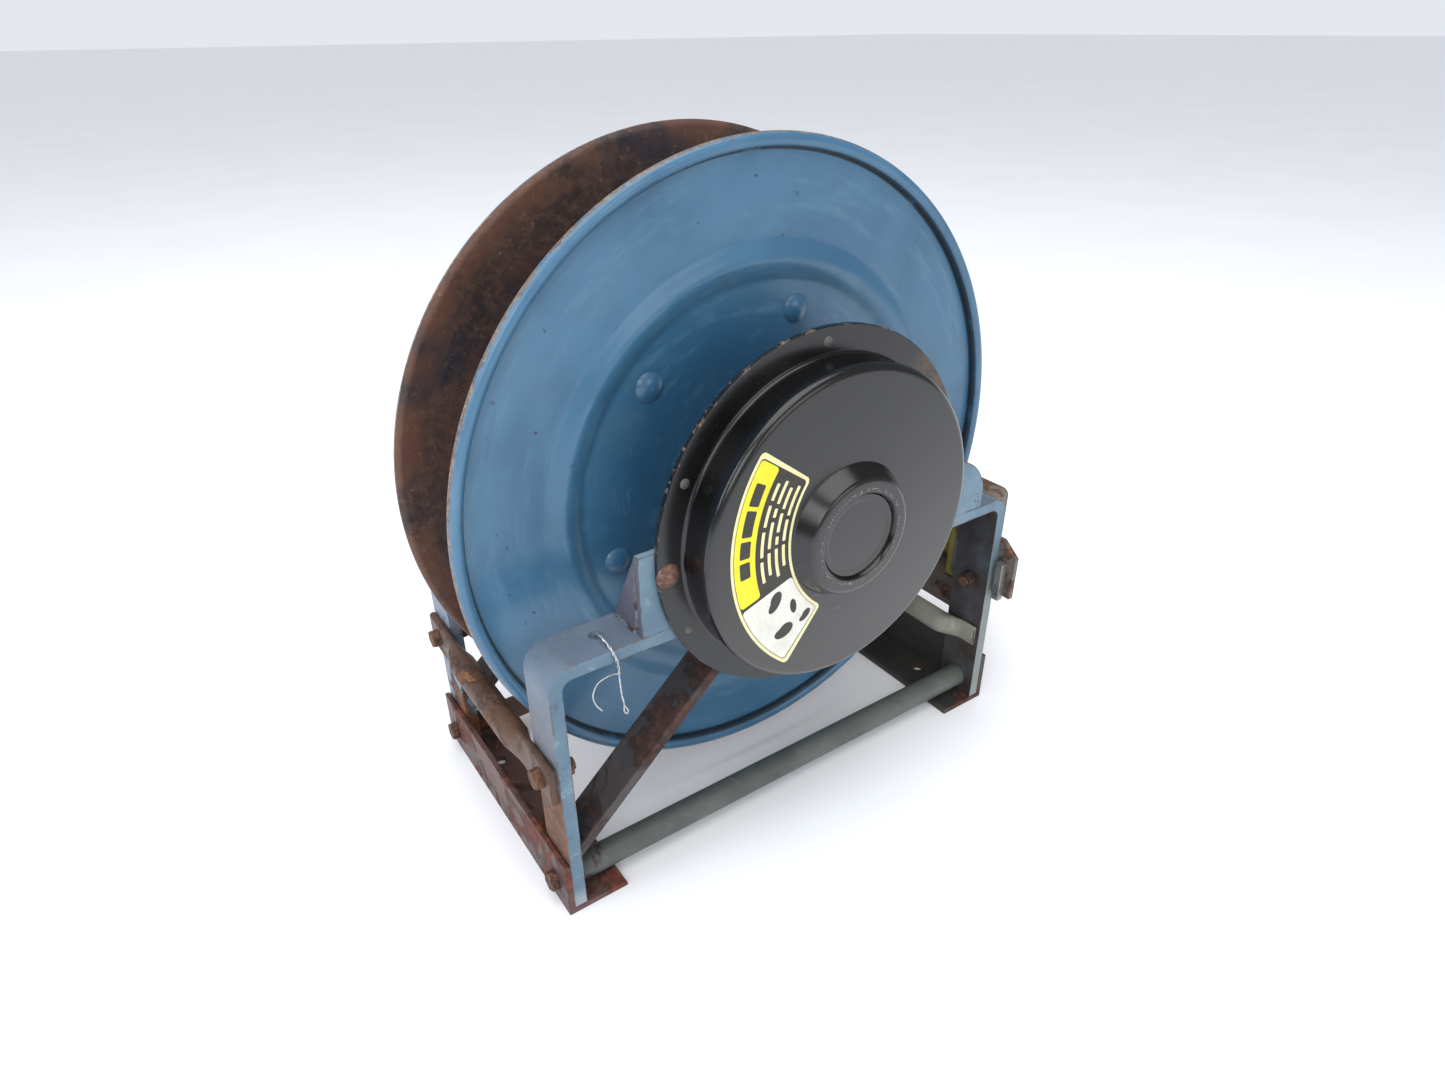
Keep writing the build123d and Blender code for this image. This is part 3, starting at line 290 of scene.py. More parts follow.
def disc_rust(name):
    """Bare inner face of a disc: brown rust, orange-brown near the rim, with blue-black patches."""
    g = Graph(name)
    r = g.radius()
    colour = rust_colour(g, (50, 40, 40), (70, 52, 47), (92, 70, 60), 55.0)
    patches = g.step(g.noise(11.0, 4.0, 0.65, 0.8), 0.46, 0.62, 0.85)
    colour = g.mix(patches, colour, linear(40, 40, 50))
    ring = g.noise(26.0, 4.0, 0.6, 0.0, g.vector(g.both(r, 5.0), g.both(g.angle(), 0.10), g.y))
    colour = g.mix(g.step(ring, 0.5, 0.72, 0.6), colour, linear(88, 62, 52))
    band = g.both(g.step(r, 0.222, 0.243), g.step(g.noise(24.0, 4.0), 0.38, 0.58))
    colour = g.mix(g.both(band, 0.55), colour, linear(112, 72, 50))
    pits = g.step(g.noise(190.0, 4.0, 0.8), 0.60, 0.68)
    colour = g.mix(g.both(pits, 0.5), colour, linear(138, 104, 84))
    height = g.math("ADD", g.noise(520.0, 4.0, 0.7), g.both(g.noise(90.0, 4.0), 0.8))
    finish = g.span(g.noise(22.0, 4.0), 0.48, 0.74)
    return g.surface(colour, finish, 0.1, height, 0.0003)


def housing_black(name):
    """Gloss black enamel: a painted reflection of the white floor greying the face lower down, scratched, its
    flange chipped and scuffed in one patch.
    """
    g = Graph(name)
    r = g.radius()
    colour = g.mix(g.step(g.noise(9.0, 4.0), 0.35, 0.7), linear(10, 10, 11), linear(17, 17, 18))
    face = g.where([("ny", -0.4, -0.9), ("y", -0.150, -0.157)])
    # Painted reflection: the front face greyed lower down, as the white floor shows in the gloss black.
    face_floor_reflection = g.mix(g.step(g.z, 0.37, 0.17), linear(26, 26, 26), linear(58, 56, 54))
    colour = g.mix(g.both(face, 0.9), colour, face_floor_reflection)
    dust = g.step(g.noise(650.0, 2.0, 0.5), 0.68, 0.76, 0.35)
    colour = g.mix(dust, colour, linear(96, 94, 92))
    slant = {"Vector": g.place, "Rotation": (0.0, 0.6, 0.0), "Scale": (14.0, 1.0, 420.0)}
    long_way = g.add("ShaderNodeMapping", slant)
    scratch = g.step(g.noise(1.6, 1.0, 0.5, 0.0, long_way.outputs[0]), 0.74, 0.77)
    scratch = g.both(scratch, g.step(g.noise(17.0, 2.0), 0.58, 0.64))
    colour = g.mix(g.both(scratch, 0.4), colour, linear(128, 126, 124))
    turn = g.angle()
    patch = g.both(g.step(turn, 0.42, 0.56), g.step(turn, 0.92, 0.78), g.step(r, 0.121, 0.125))
    patch = g.both(patch, g.step(g.noise(60.0, 5.0, 0.7), 0.36, 0.6))
    colour = g.mix(g.both(patch, 0.8), colour, linear(98, 78, 64))
    flange = g.both(g.step(r, 0.1370, 0.1379), g.step(g.noise(120.0, 5.0, 0.75), 0.53, 0.60), 0.8)
    rust = rust_colour(g, (74, 52, 44), (104, 82, 70), (146, 124, 106), 160.0)
    colour = g.mix(flange, colour, rust)
    ring = g.both(g.step(r, 0.0345, 0.0352), g.step(r, 0.0372, 0.0364))
    ring = g.both(ring, g.step(g.noise(700.0, 2.0), 0.55, 0.62))
    colour = g.mix(g.both(ring, 0.5), colour, linear(150, 148, 144))
    height = g.math("ADD", g.both(g.noise(300.0, 2.0), 0.25), g.both(scratch, -0.5))
    finish = g.math("ADD", g.span(g.noise(30.0, 5.0, 0.7), -0.05, 0.10), 0.20)
    finish = g.blend_value(g.either(flange, patch), finish, 0.6)
    return g.surface(colour, finish, 0.0, height, 0.00012, coat=0.3)


def bright_metal(name, base, dark, rough, metal, stain=(96, 72, 52), stained=0.4):
    """Plated or machined metal with dull patches and a little staining."""
    g = Graph(name)
    colour = g.mix(g.step(g.noise(90.0, 4.0, 0.6), 0.35, 0.7), linear(*base), linear(*dark))
    spots = g.step(g.noise(144.0, 5.0, 0.75), 0.66 - 0.22 * stained, 0.76 - 0.18 * stained)
    colour = g.mix(g.both(spots, 0.8), colour, linear(*stain))
    finish = g.math("ADD", g.span(g.noise(180.0, 4.0), -0.08, 0.16), rough)
    finish = g.blend_value(spots, finish, 0.75)
    height = g.math("ADD", g.both(g.noise(900.0, 3.0), 0.4), g.both(spots, 0.4))
    shine = g.blend_value(spots, metal, 0.15)
    return g.surface(colour, finish, shine, height, 0.00015)


def moulded(name, base, shade, dirt):
    """Moulded plastic or rubber with a fine grain and dirt rubbed in."""
    g = Graph(name)
    colour = g.mix(g.step(g.noise(40.0, 3.0), 0.35, 0.7), linear(*base), linear(*shade))
    grime = g.step(g.noise(75.0, 6.0, 0.7), 0.53, 0.725)
    colour = g.mix(g.both(grime, 0.75), colour, linear(*dirt))
    height = g.math("ADD", g.noise(1400.0, 2.0), g.both(grime, 0.4))
    finish = g.math("ADD", g.span(g.noise(110.0), -0.08, 0.12), 0.42)
    return g.surface(colour, finish, 0.0, height, 0.00008)


def print_ink(name, base, shade):
    """Printed film: its colour a little uneven and scuffed."""
    g = Graph(name)
    colour = g.mix(g.step(g.noise(70.0, 5.0, 0.7), 0.35, 0.75), linear(*base), linear(*shade))
    specks = g.step(g.noise(520.0, 3.0, 0.6), 0.66, 0.73)
    colour = g.mix(g.both(specks, 0.35), colour, linear(86, 80, 70))
    finish = g.math("ADD", g.span(g.noise(160.0), -0.06, 0.12), 0.38)
    return g.surface(colour, finish, 0.0, g.noise(900.0), 0.00003)


BLUE = ((86, 112, 130), (110, 136, 152), (146, 164, 174))
GREY_BLUE = ((98, 108, 122), (118, 130, 146), (140, 150, 160))
BROWN_RUST = ((70, 46, 36), (112, 72, 46), (150, 98, 58))
DARK_RUST = ((44, 32, 30), (66, 44, 40), (92, 62, 52))
RED_RUST = ((66, 34, 30), (98, 50, 40), (128, 74, 56))
OUTER_LEFT = (("nx", -0.5, -0.9), ("x", 0.0, -0.1))
RIGHT_LEG = (("nx", -0.5, -0.9), ("x", 0.1, 0.2))

paint_disc = disc_paint("disc_paint")
rust_disc = disc_rust("disc_rust")
black_housing = housing_black("housing_black")
frame_paint = worn_paint(
    "frame_paint",
    BLUE,
    BROWN_RUST,
    amount=0.385,
    edges=1.0,
    zones=[(0.34, *OUTER_LEFT, ("z", 0.18, 0.11))],
    tints=[
        ((96, 96, 108), 0.6, ("nz", 0.5, 0.9)),
        ((100, 106, 118), 0.5, *OUTER_LEFT, ("z", 0.10, 0.17)),
        ((96, 80, 72), 0.4, ("nx", -0.2, -0.7), ("x", 0.0, -0.1), ("z", 0.205, 0.16)),
        # Painted light: front faces near the floor lightened, as bounce light from the white floor.
        ((206, 206, 200), 0.3, ("ny", -0.5, -0.9), ("z", 0.026, 0.010)),
        # Painted shade over rust: the right legs' inner faces, turned away from the light, made dark brown.
        ((56, 44, 38), 0.95, *RIGHT_LEG),
        ((128, 128, 118), 0.7, ("ny", -0.5, -0.9), ("x", 0.1, 0.2), ("z", 0.20, 0.12)),
    ],
)
rear_frame_paint = worn_paint(
    "rear_frame_paint",
    GREY_BLUE,
    BROWN_RUST,
    amount=0.50,
    zones=[(0.1, ("z", 0.2, 0.0))],
    # Painted shade over rust on the right legs' inner faces, which face away from the light.
    tints=[((56, 46, 44), 0.8, *RIGHT_LEG)],
)
bracket_paint = worn_paint(
    "bracket_paint",
    BLUE,
    DARK_RUST,
    amount=0.38,
    tints=[
        ((88, 70, 76), 0.75, ("nx", -0.5, -0.9), ("x", -0.13, -0.145)),
        ((124, 74, 60), 0.6, ("nz", 0.3, 0.7), ("x", 0.13, 0.15)),
    ],
)
base_rust = worn_paint("base_rust", ((84, 60, 56), (98, 70, 64), (128, 110, 102)), RED_RUST, amount=0.58)
right_base_rust = worn_paint(
    "right_base_rust",
    ((46, 48, 46), (56, 56, 52), (84, 82, 76)),
    RED_RUST,
    amount=0.44,
    zones=[(0.14, ("y", -0.104, -0.118))],
)
brace_rust = worn_paint(
    "brace_rust",
    ((62, 57, 58), (74, 68, 67), (84, 82, 86)),
    DARK_RUST,
    amount=0.60,
    tints=[((92, 70, 52), 0.5, ("nz", 0.0, -0.6))],
)
tube_paint = worn_paint(
    "tube_paint",
    ((78, 82, 79), (94, 98, 92), (114, 118, 110)),
    RED_RUST,
    amount=0.30,
    edges=0,
    zones=[(0.35, ("x", -0.15, -0.21))],
)
side_tube_rust = worn_paint(
    "side_tube_rust",
    ((82, 61, 50), (96, 71, 56), (116, 90, 72)),
    BROWN_RUST,
    amount=0.55,
    tints=[((150, 92, 52), 0.6, ("nz", -0.2, -0.8))],
)
right_tube_paint = worn_paint(
    "right_tube_paint", ((128, 128, 116), (146, 146, 132), (164, 162, 150)), BROWN_RUST, amount=0.30
)
guide_rust = worn_paint(
    "guide_rust", ((92, 82, 76), (120, 110, 100), (150, 146, 138)), BROWN_RUST, amount=0.56
)
dark_nut = bare_rust("dark_nut", (42, 33, 30), (60, 45, 38), (84, 62, 50), 0.7, 120.0, 0.1)
fastener_rust = bare_rust("fastener_rust", (58, 38, 32), (96, 62, 44), (134, 96, 70), 0.7, 120.0, 0.15)
bolt_brown = bare_rust("bolt_brown", (84, 56, 48), (112, 78, 64), (138, 104, 88), 0.6, 140.0, 0.1)
zinc = bright_metal("zinc", (150, 150, 146), (104, 104, 102), 0.42, 0.75)
rivet_metal = bright_metal("rivet_metal", (112, 112, 108), (84, 84, 82), 0.5, 0.5, stained=0.3)
steel = bright_metal("steel", (120, 118, 116), (82, 80, 80), 0.4, 0.85, stained=0.7)
blued_spring = bright_metal("blued_spring", (66, 70, 84), (46, 48, 60), 0.3, 0.9, stained=0.3)
brass = bright_metal("brass", (176, 140, 78), (120, 94, 54), 0.38, 0.9, (70, 58, 40), 0.6)
casting = worn_paint(
    "casting", ((66, 74, 84), (84, 94, 104), (110, 118, 126)), DARK_RUST, amount=0.42, scale=60.0
)
yellow_roller = moulded("yellow_roller", (156, 146, 62), (134, 122, 52), (74, 64, 40))
black_rubber = moulded("black_rubber", (26, 26, 26), (36, 36, 36), (70, 66, 60))
weld_metal = worn_paint(
    "weld_metal", ((92, 108, 120), (104, 104, 106), (140, 138, 132)), DARK_RUST, amount=0.5, scale=90.0
)
wire_metal = bright_metal("wire_metal", (214, 216, 216), (168, 170, 172), 0.3, 0.85, stained=0.1)
label_cream = print_ink("label_cream", (236, 228, 176), (222, 210, 150))
label_yellow = print_ink("label_yellow", (236, 226, 34), (222, 210, 30))
label_dark = print_ink("label_dark", (44, 42, 36), (56, 52, 44))
label_white = print_ink("label_white", (226, 224, 214), (206, 204, 194))


# ---- meshes ----
def rounded(corners, steps):
    """Closed outline through corners (a, b, radius), each corner with a radius rounded by an arc."""
    outline = []
    count = len(corners)
    for index, (a, b, radius) in enumerate(corners):
        here = Vector((a, b))
        if radius <= 0:
            outline.append((a, b))
            continue
        before = Vector(corners[index - 1][:2]) - here
        after = Vector(corners[(index + 1) % count][:2]) - here
        half = before.angle(after) / 2
        reach = min(radius / math.tan(half), before.length * 0.49, after.length * 0.49)
        size = reach * math.tan(half)
        start = here + before.normalized() * reach
        end = here + after.normalized() * reach
        centre = here + (before.normalized() + after.normalized()).normalized() * (size / math.sin(half))
        first = math.atan2(start.y - centre.y, start.x - centre.x)
        sweep = math.atan2(end.y - centre.y, end.x - centre.x) - first
        sweep = (sweep + math.pi) % TURN - math.pi
        for step in range(steps + 1):
            turn = first + sweep * step / steps
            outline.append((centre.x + size * math.cos(turn), centre.y + size * math.sin(turn)))
    return outline


def make(name, points, faces, materials, body, shade=35.0, picks=None):
    """A mesh object that rides on a body, shaded smooth up to an angle in degrees."""
    mesh = bpy.data.meshes.new(name)
    mesh.from_pydata([tuple(p) for p in points], [], faces)
    for material in materials:
        mesh.materials.append(material)
    if picks:
        mesh.polygons.foreach_set("material_index", picks)
    tidy = bmesh.new()
    tidy.from_mesh(mesh)
    bmesh.ops.recalc_face_normals(tidy, faces=tidy.faces)
    tidy.to_mesh(mesh)
    tidy.free()
    mesh.shade_smooth()
    mesh.set_sharp_from_angle(angle=math.radians(shade))
    item = bpy.data.objects.new(name, mesh)
    bpy.context.scene.collection.objects.link(item)
    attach(item, body)
    return item


def lathe(name, outline, materials, body, steps, move, pick=None):
    """Closed outline of (along, radius) turned about the axle, each point then moved.

    pick gives a face's material slot from the two outline points it lies between.
    """
    origin, direction = Vector((0, 0, AXLE_Z)), Vector((0, 1, 0))
    side = direction.orthogonal().normalized()
    up = direction.cross(side)
    points, faces, picks = [], [], []
    count = len(outline)
    for step in range(steps):
        turn = TURN * step / steps
        ray = side * math.cos(turn) + up * math.sin(turn)
        for along, radius in outline:
            point = origin + direction * along + ray * radius
            points.append(move(point, along, radius))
    for step in range(steps):
        here, there = step * count, (step + 1) % steps * count
        for index in range(count):
            after = (index + 1) % count
            a, b = outline[index], outline[after]
            if a[1] < 1e-9 and b[1] < 1e-9:
                continue
            faces.append((here + index, here + after, there + after, there + index))
            picks.append(pick(a, b) if pick else 0)
    item = make(name, points, faces, materials, body, picks=picks)
    join_points(item)
    return item


def join_points(item):
    """Points in the same place become one, and the faces this flattens go."""
    distance = 1e-6
    mesh = item.data
    work = bmesh.new()
    work.from_mesh(mesh)
    bmesh.ops.remove_doubles(work, verts=work.verts, dist=distance)
    bmesh.ops.dissolve_degenerate(work, edges=work.edges, dist=distance)
    bmesh.ops.recalc_face_normals(work, faces=work.faces)
    work.to_mesh(mesh)
    work.free()


def dress(node, material, bevel, angle=28.0):
    """A CAD node keeps its shape and gets its material, its points welded and, given a bevel width, soft
    edges.
    """
    item = nodes[node]
    item.data.materials.clear()
    item.data.materials.append(material)
    join = item.modifiers.new("join", "WELD")
    join.merge_threshold = 1e-5
    if bevel:
        flat = item.modifiers.new("flat", "DECIMATE")
        flat.decimate_type = "DISSOLVE"
        flat.angle_limit = math.radians(0.4)
        soft = item.modifiers.new("soft", "BEVEL")
        soft.width = bevel
        soft.segments = 2
        soft.limit_method = "ANGLE"
        soft.angle_limit = math.radians(angle)
        soft.miter_outer = "MITER_ARC"
        soft.harden_normals = False


# ---- spool discs ----
def disc_section(side):
    """Section of a pressed disc as (along the axle, radius): its painted part, then its bare one."""
    front = abs(DISC_FRONT)
    roll, gauge = 0.005, 0.002
    web_in, middle, centre = front - 2 * roll, front - roll, DISC_RADIUS - roll
    web_out = web_in + gauge
    hub, rib_start, rib_end, rib_height = 0.030, 0.1515, 0.1825, 0.005

    def rib(along, trim):
        start, length = rib_start + trim, rib_end - rib_start - 2 * trim
        rise = [rib_height * (0.5 - 0.5 * math.cos(TURN * step / 28)) ** 0.85 for step in range(29)]
        return [(along + rise[step], start + length * step / 28) for step in range(29)]

    def arc(radius, first, last, steps):
        turns = [math.radians(first + (last - first) * step / steps) for step in range(steps + 1)]
        return [(middle + radius * math.cos(turn), centre + radius * math.sin(turn)) for turn in turns]

    def run(along, first, last, steps=4):
        return [(along, first + (last - first) * step / steps) for step in range(steps + 1)]

    outline = run(web_out, hub, rib_start - 0.004) + rib(web_out, 0.0)
    outline += run(web_out, rib_end + 0.004, centre - 0.006)
    outline += arc(roll - gauge, 180, -108, 30) + arc(roll, -108, 99, 30)
    bare = arc(roll, 104, 180, 12) + run(web_in, centre - 0.006, rib_end + 0.004)
    bare += list(reversed(rib(web_in, 0.0005))) + run(web_in, rib_start - 0.004, hub)
    return [[(side * along, radius) for along, radius in part] for part in (outline, bare)]


def sheet_wave(point, along, radius):
    """Pressed sheet is never quite flat: gentle waves, none near the hub."""
    share = max(0.0, min(1.0, (radius - 0.06) / 0.1))
    wave = noise.noise(Vector((point.x * 7, point.z * 7, 3.7 if along > 0 else 1.3)))
    fine = noise.noise(Vector((point.x * 24, point.z * 24, 8.1)))
    inward = 1 if along < 0 else -1
    return point + Vector((0, inward * share * (0.00035 + 0.00025 * wave + 0.0001 * fine), 0))


for name, node, side in (("front_disc_sheet", "front_disc", -1), ("rear_disc_sheet", "rear_disc", 1)):
    painted, bare = disc_section(side)
    bare_points = set(bare)
    sheet = lathe(
        name,
        painted + bare,
        [paint_disc, rust_disc],
        "spool",
        320,
        move=sheet_wave,
        pick=lambda a, b: int(a in bare_points and b in bare_points),
    )
    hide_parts(node)

# ---- spring housing ----
GAUGE = 0.002
WALL_FOOT, WALL_EDGE, EDGE_BLEND = 0.1175, 0.1195, 0.006
BOSS_FOOT, BOSS_TOP, BOSS_HEIGHT = 0.051, 0.043, 0.0135
CAP_RADIUS = 0.0315
face_y = HOUSING_FRONT + BOSS_HEIGHT
cover_section = rounded(
    [
        (HOUSING_BACK, FLANGE_RADIUS, 0.0),
        (HOUSING_BACK - GAUGE, FLANGE_RADIUS, 0.0006),
        (HOUSING_BACK - GAUGE, WALL_FOOT, 0.003),
        (face_y, WALL_EDGE, EDGE_BLEND),
        (face_y, BOSS_FOOT, 0.001),
        (HOUSING_FRONT, BOSS_TOP, 0.005),
        (HOUSING_FRONT, CAP_RADIUS + 0.002, 0.0012),
        (HOUSING_FRONT + 0.0035, CAP_RADIUS, 0.0),
        (HOUSING_FRONT + 0.0055, CAP_RADIUS, 0.0),
        (HOUSING_FRONT + GAUGE, CAP_RADIUS + 0.003, 0.001),
        (HOUSING_FRONT + GAUGE, BOSS_TOP - 0.0011, 0.003),
        (face_y + GAUGE, BOSS_FOOT - 0.0011, 0.003),
        (face_y + GAUGE, WALL_EDGE - GAUGE, EDGE_BLEND - GAUGE),
        (HOUSING_BACK, WALL_FOOT - GAUGE, 0.0),
    ],
    8,
)


def housing_wave(point, along, radius):
    """Pressed cover: the flange and the face a little uneven, always towards the back plate."""
    wave = noise.noise(Vector((point.x * 15, point.z * 15, 5.0)))
    if along > HOUSING_BACK - 0.003:
        return point + Vector((0, 0.00025 * max(0.0, wave), 0))
    return point + Vector((0, 0.00012 * (1 + wave), 0)) if along < face_y + 0.004 else point


cover = lathe("housing_cover_shell", cover_section, [black_housing], "frame", 288, move=housing_wave)
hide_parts("spring_housing_cover")


# ---- right side tube ----
def crimped_tube():
    """The CAD tube with its ends pressed flat against the legs, its mouths almost closed."""
    low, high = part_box("right_side_tube")
    middle_x, middle_z = (low.x + high.x) / 2, (low.z + high.z) / 2
    radius = (high.z - low.z) / 2
    flat, wall, sides, steps = 0.0034, 0.0022, 48, 96
    round_until, taper = 0.082, 0.026
    stations = [low.y + (high.y - low.y) * step / steps for step in range(steps + 1)]
    points, faces = [], []
    for inset in (0.0, wall):
        for y in stations:
            share = max(0.0, min(1.0, (abs(y) - round_until) / taper))
            share = share * share * (3 - 2 * share)
            half = (radius + (flat - radius) * share) - inset * (1 - 0.45 * share)
            tall = (radius - 0.0004 * share) - inset
            centre = middle_x + (high.x - flat - middle_x) * share
            for side in range(sides):
                turn = TURN * side / sides
                x = min(centre + half * math.cos(turn), high.x - inset * 0.5)
                points.append(Vector((x, y, middle_z + tall * math.sin(turn))))
    rings = len(stations)
    for skin in range(2):
        for ring in range(rings - 1):
            for side in range(sides):
                a = (skin * rings + ring) * sides + side
                b = (skin * rings + ring) * sides + (side + 1) % sides
                faces.append((a, b, b + sides, a + sides))
    for ring in (0, rings - 1):
        for side in range(sides):
            a, b = ring * sides + side, ring * sides + (side + 1) % sides
            faces.append((a, b, b + rings * sides, a + rings * sides))
    item = make("right_tube_shell", points, faces, [right_tube_paint], "frame", 50.0)
    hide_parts("right_side_tube")


crimped_tube()

# ---- label ----
LABEL_X, LABEL_Z = 0.022, 0.005


def sector(inner, outer, start, end, radius, steps=48):
    """Outline between two radii and two angles in degrees about the label's centre, corners rounded."""

    def polar(distance, degrees):
        turn = math.radians(degrees)
        return LABEL_X + distance * math.cos(turn), LABEL_Z + distance * math.sin(turn)

    def corner(edge, toward, angle, sense, backwards):
        swing = math.degrees(radius / edge)
        turns = [math.pi / 2 * step / 6 for step in range(1, 6)]
        if backwards:
            turns.reverse()
        return [
            polar(edge + toward * radius * (1 - math.cos(turn)), angle + sense * swing * (1 - math.sin(turn)))
            for turn in turns
        ]

    turn_in, turn_out = math.degrees(radius / inner), math.degrees(radius / outer)
    far = [start + turn_out + (end - start - 2 * turn_out) * step / steps for step in range(steps + 1)]
    near = [end - turn_in - (end - start - 2 * turn_in) * step / steps for step in range(steps + 1)]
    outline = [polar(outer, angle) for angle in far]
    outline += corner(outer, -1, end, -1, False) + corner(inner, 1, end, -1, True)
    outline += [polar(inner, angle) for angle in near]
    return outline + corner(inner, 1, start, 1, False) + corner(outer, -1, start, 1, True)


def plates(name, outlines, depth, lift, material):
    """Flat plates lifted off the housing face; outlines are (x, height above the axle)."""
    points, faces = [], []
    for outline in outlines:
        first, count = len(points), len(outline)
        for level in (lift, lift + depth):
            points += [Vector((x, face_y - level, AXLE_Z + z)) for x, z in outline]
        faces += [tuple(range(first, first + count)), tuple(range(first + count, first + 2 * count))]
        for index in range(count):
            after = (index + 1) % count
            faces.append((first + index, first + after, first + count + after, first + count + index))
    item = make(name, points, faces, [material], "frame")
    return item


def blob(radius, angle, long, wide, lean, dent=0.0):
    """Rounded shape on the label at a radius and an angle, leaning by lean degrees, dented on one side."""
    outline = []
    turn = math.radians(angle)
    middle_x, middle_z = LABEL_X + radius * math.cos(turn), LABEL_Z + radius * math.sin(turn)
    tilt = math.radians(lean)
    for step in range(40):
        share = TURN * step / 40
        pinch = 1 - dent * math.exp(-((share - 2.0) ** 2) * 3)
        a, b = long * math.cos(share) * pinch, wide * math.sin(share) * pinch
        x = middle_x + a * math.cos(tilt) - b * math.sin(tilt)
        outline.append((x, middle_z + a * math.sin(tilt) + b * math.cos(tilt)))
    return outline


def bars(inner, outer, spans, radius=0.0006):
    """A row of short bars between two radii, one for each (start, end) in degrees."""
    return [sector(inner, outer, start, end, radius, 10) for start, end in spans]


label_low, label_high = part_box("label_plate")
film = (label_high.y - label_low.y) / 10  # one printed layer; the label's base is five deep
base_plate = plates("label_base", [sector(0.0742, 0.124, 142.5, 232.5, 0.004)], film * 5, 0.0, label_cream)
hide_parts("label_plate")
plates("label_line", [sector(0.0764, 0.1218, 144.3, 230.7, 0.0032)], film, film * 5, label_dark)
plates("label_band", [sector(0.1042, 0.1213, 144.8, 198.0, 0.003)], film, film * 6, label_yellow)
plates("label_panel", [sector(0.0768, 0.1036, 144.8, 198.0, 0.002)], film, film * 6, label_dark)
plates("label_picture", [sector(0.0768, 0.1213, 199.2, 230.2, 0.0028)], film, film * 6, label_white)
band_bars = bars(0.1085, 0.1168, [(152, 160), (161.5, 171), (172.5, 179), (180.5, 187)], 0.0012)
plates("label_band_bars", band_bars, film, film * 7, label_dark)
panel_bars = bars(0.0975, 0.1000, [(150, 157), (159, 168), (170, 181), (183, 193)])
panel_bars += bars(0.0915, 0.0940, [(148, 158), (160, 164), (166, 178), (180, 191)])
panel_bars += bars(0.0855, 0.0880, [(150, 160), (162, 171), (173, 177), (179, 194)])
panel_bars += bars(0.0795, 0.0820, [(148, 163), (165, 176), (178, 190)])
plates("label_panel_bars", panel_bars, film, film * 7, label_cream)
shapes = [blob(0.0965, 205.5, 0.0088, 0.0050, 62, 0.35), blob(0.0865, 215.5, 0.0062, 0.0028, 100)]
shapes += [blob(0.1040, 221.0, 0.0085, 0.0056, 18, 0.3), blob(0.0860, 226.0, 0.0060, 0.0034, 40, 0.4)]
plates("label_shapes", shapes, film, film * 7, label_dark)


# ---- wire and welds ----
def smooth_path(corners):
    """Points of a curve through every corner, ten to each gap between two corners."""
    per = 10
    ends = [corners[0] * 2 - corners[1], *corners, corners[-1] * 2 - corners[-2]]
    path = []
    for index in range(1, len(ends) - 2):
        a, b, c, d = ends[index - 1 : index + 3]
        for step in range(per):
            t = step / per
            square, cube = 2 * a - 5 * b + 4 * c - d, 3 * b - a - 3 * c + d
            path.append(0.5 * (2 * b + (c - a) * t + square * t**2 + cube * t**3))
    return path + [corners[-1]]


def cord(name, runs, material, sides=8):
    """Round cords in one piece: a run is (points, radius at each point), its ends closed."""
    points, faces = [], []
    for path, radii in runs:
        first = len(points)
        across = (path[1] - path[0]).orthogonal().normalized()
        for index, (place, radius) in enumerate(zip(path, radii)):
            ahead = (path[min(index + 1, len(path) - 1)] - path[max(index - 1, 0)]).normalized()
            across = (across - ahead * across.dot(ahead)).normalized()
            other = ahead.cross(across)
            for side in range(sides):
                turn = TURN * side / sides
                points.append(place + (across * math.cos(turn) + other * math.sin(turn)) * radius)
        for ring in range(len(path) - 1):
            for side in range(sides):
                a, b = first + ring * sides + side, first + ring * sides + (side + 1) % sides
                faces.append((a, b, b + sides, a + sides))
        last = first + (len(path) - 1) * sides
        faces += [tuple(range(first, first + sides)), tuple(range(last, last + sides))]
    item = make(name, points, faces, [material], "frame", 60.0)


def millimetres(*places):
    return [Vector(place) / 1000 for place in places]


def twisted(path, radius, reach, pitch):
    """Two strands wound round a path, as two runs."""
    runs = []
    for phase in (0.0, math.pi):
        length, strand = 0.0, []
        for index, place in enumerate(path):
            ahead = (path[min(index + 1, len(path) - 1)] - path[max(index - 1, 0)]).normalized()
            across = Vector((0, 1, 0)) - ahead * ahead.y
            across = across.normalized() if across.length > 0.3 else Vector((1, 0, 0))
            other = ahead.cross(across)
            turn = phase + TURN * length / pitch
            strand.append(place + (across * math.cos(turn) + other * math.sin(turn)) * reach)
            if index + 1 < len(path):
                length += (path[index + 1] - place).length
        runs.append((strand, [radius] * len(strand)))
    return runs


WIRE = 0.0006
wire_top = smooth_path(
    millimetres(
        (-174, -100, 217),
        (-174, -101.5, 226),
        (-174, -108, 229),
        (-174, -118, 228),
        (-173.4, -125, 224),
        (-171.6, -126.6, 216),
        (-171.0, -126.2, 206),
    )
)
wire_tail = smooth_path(
    millimetres(
        (-171.0, -126.2, 206),
        (-170.6, -126.0, 198),
        (-170.0, -126.0, 188),
        (-168.6, -126.2, 178),
        (-166.4, -126.6, 172.8),
        (-167.6, -127.0, 170.6),
        (-169.6, -127.2, 174),
        (-169.4, -127.2, 181),
        (-170.6, -127.0, 188),
    )
)
wire_curl = smooth_path(
    millimetres(
        (-171.0, -126.2, 206),
        (-175.0, -127.0, 208.4),
        (-181.5, -128.0, 209.0),
        (-188.6, -128.4, 206.6),
        (-192.4, -128.0, 198.5),
        (-190.4, -127.2, 189),
        (-186.0, -126.4, 181.6),
    )
)
wire_runs = twisted(wire_top, WIRE, WIRE * 1.05, 0.011)
wire_runs += [(path, [WIRE] * len(path)) for path in (wire_tail, wire_curl)]
cord("wire_hook", wire_runs, wire_metal)


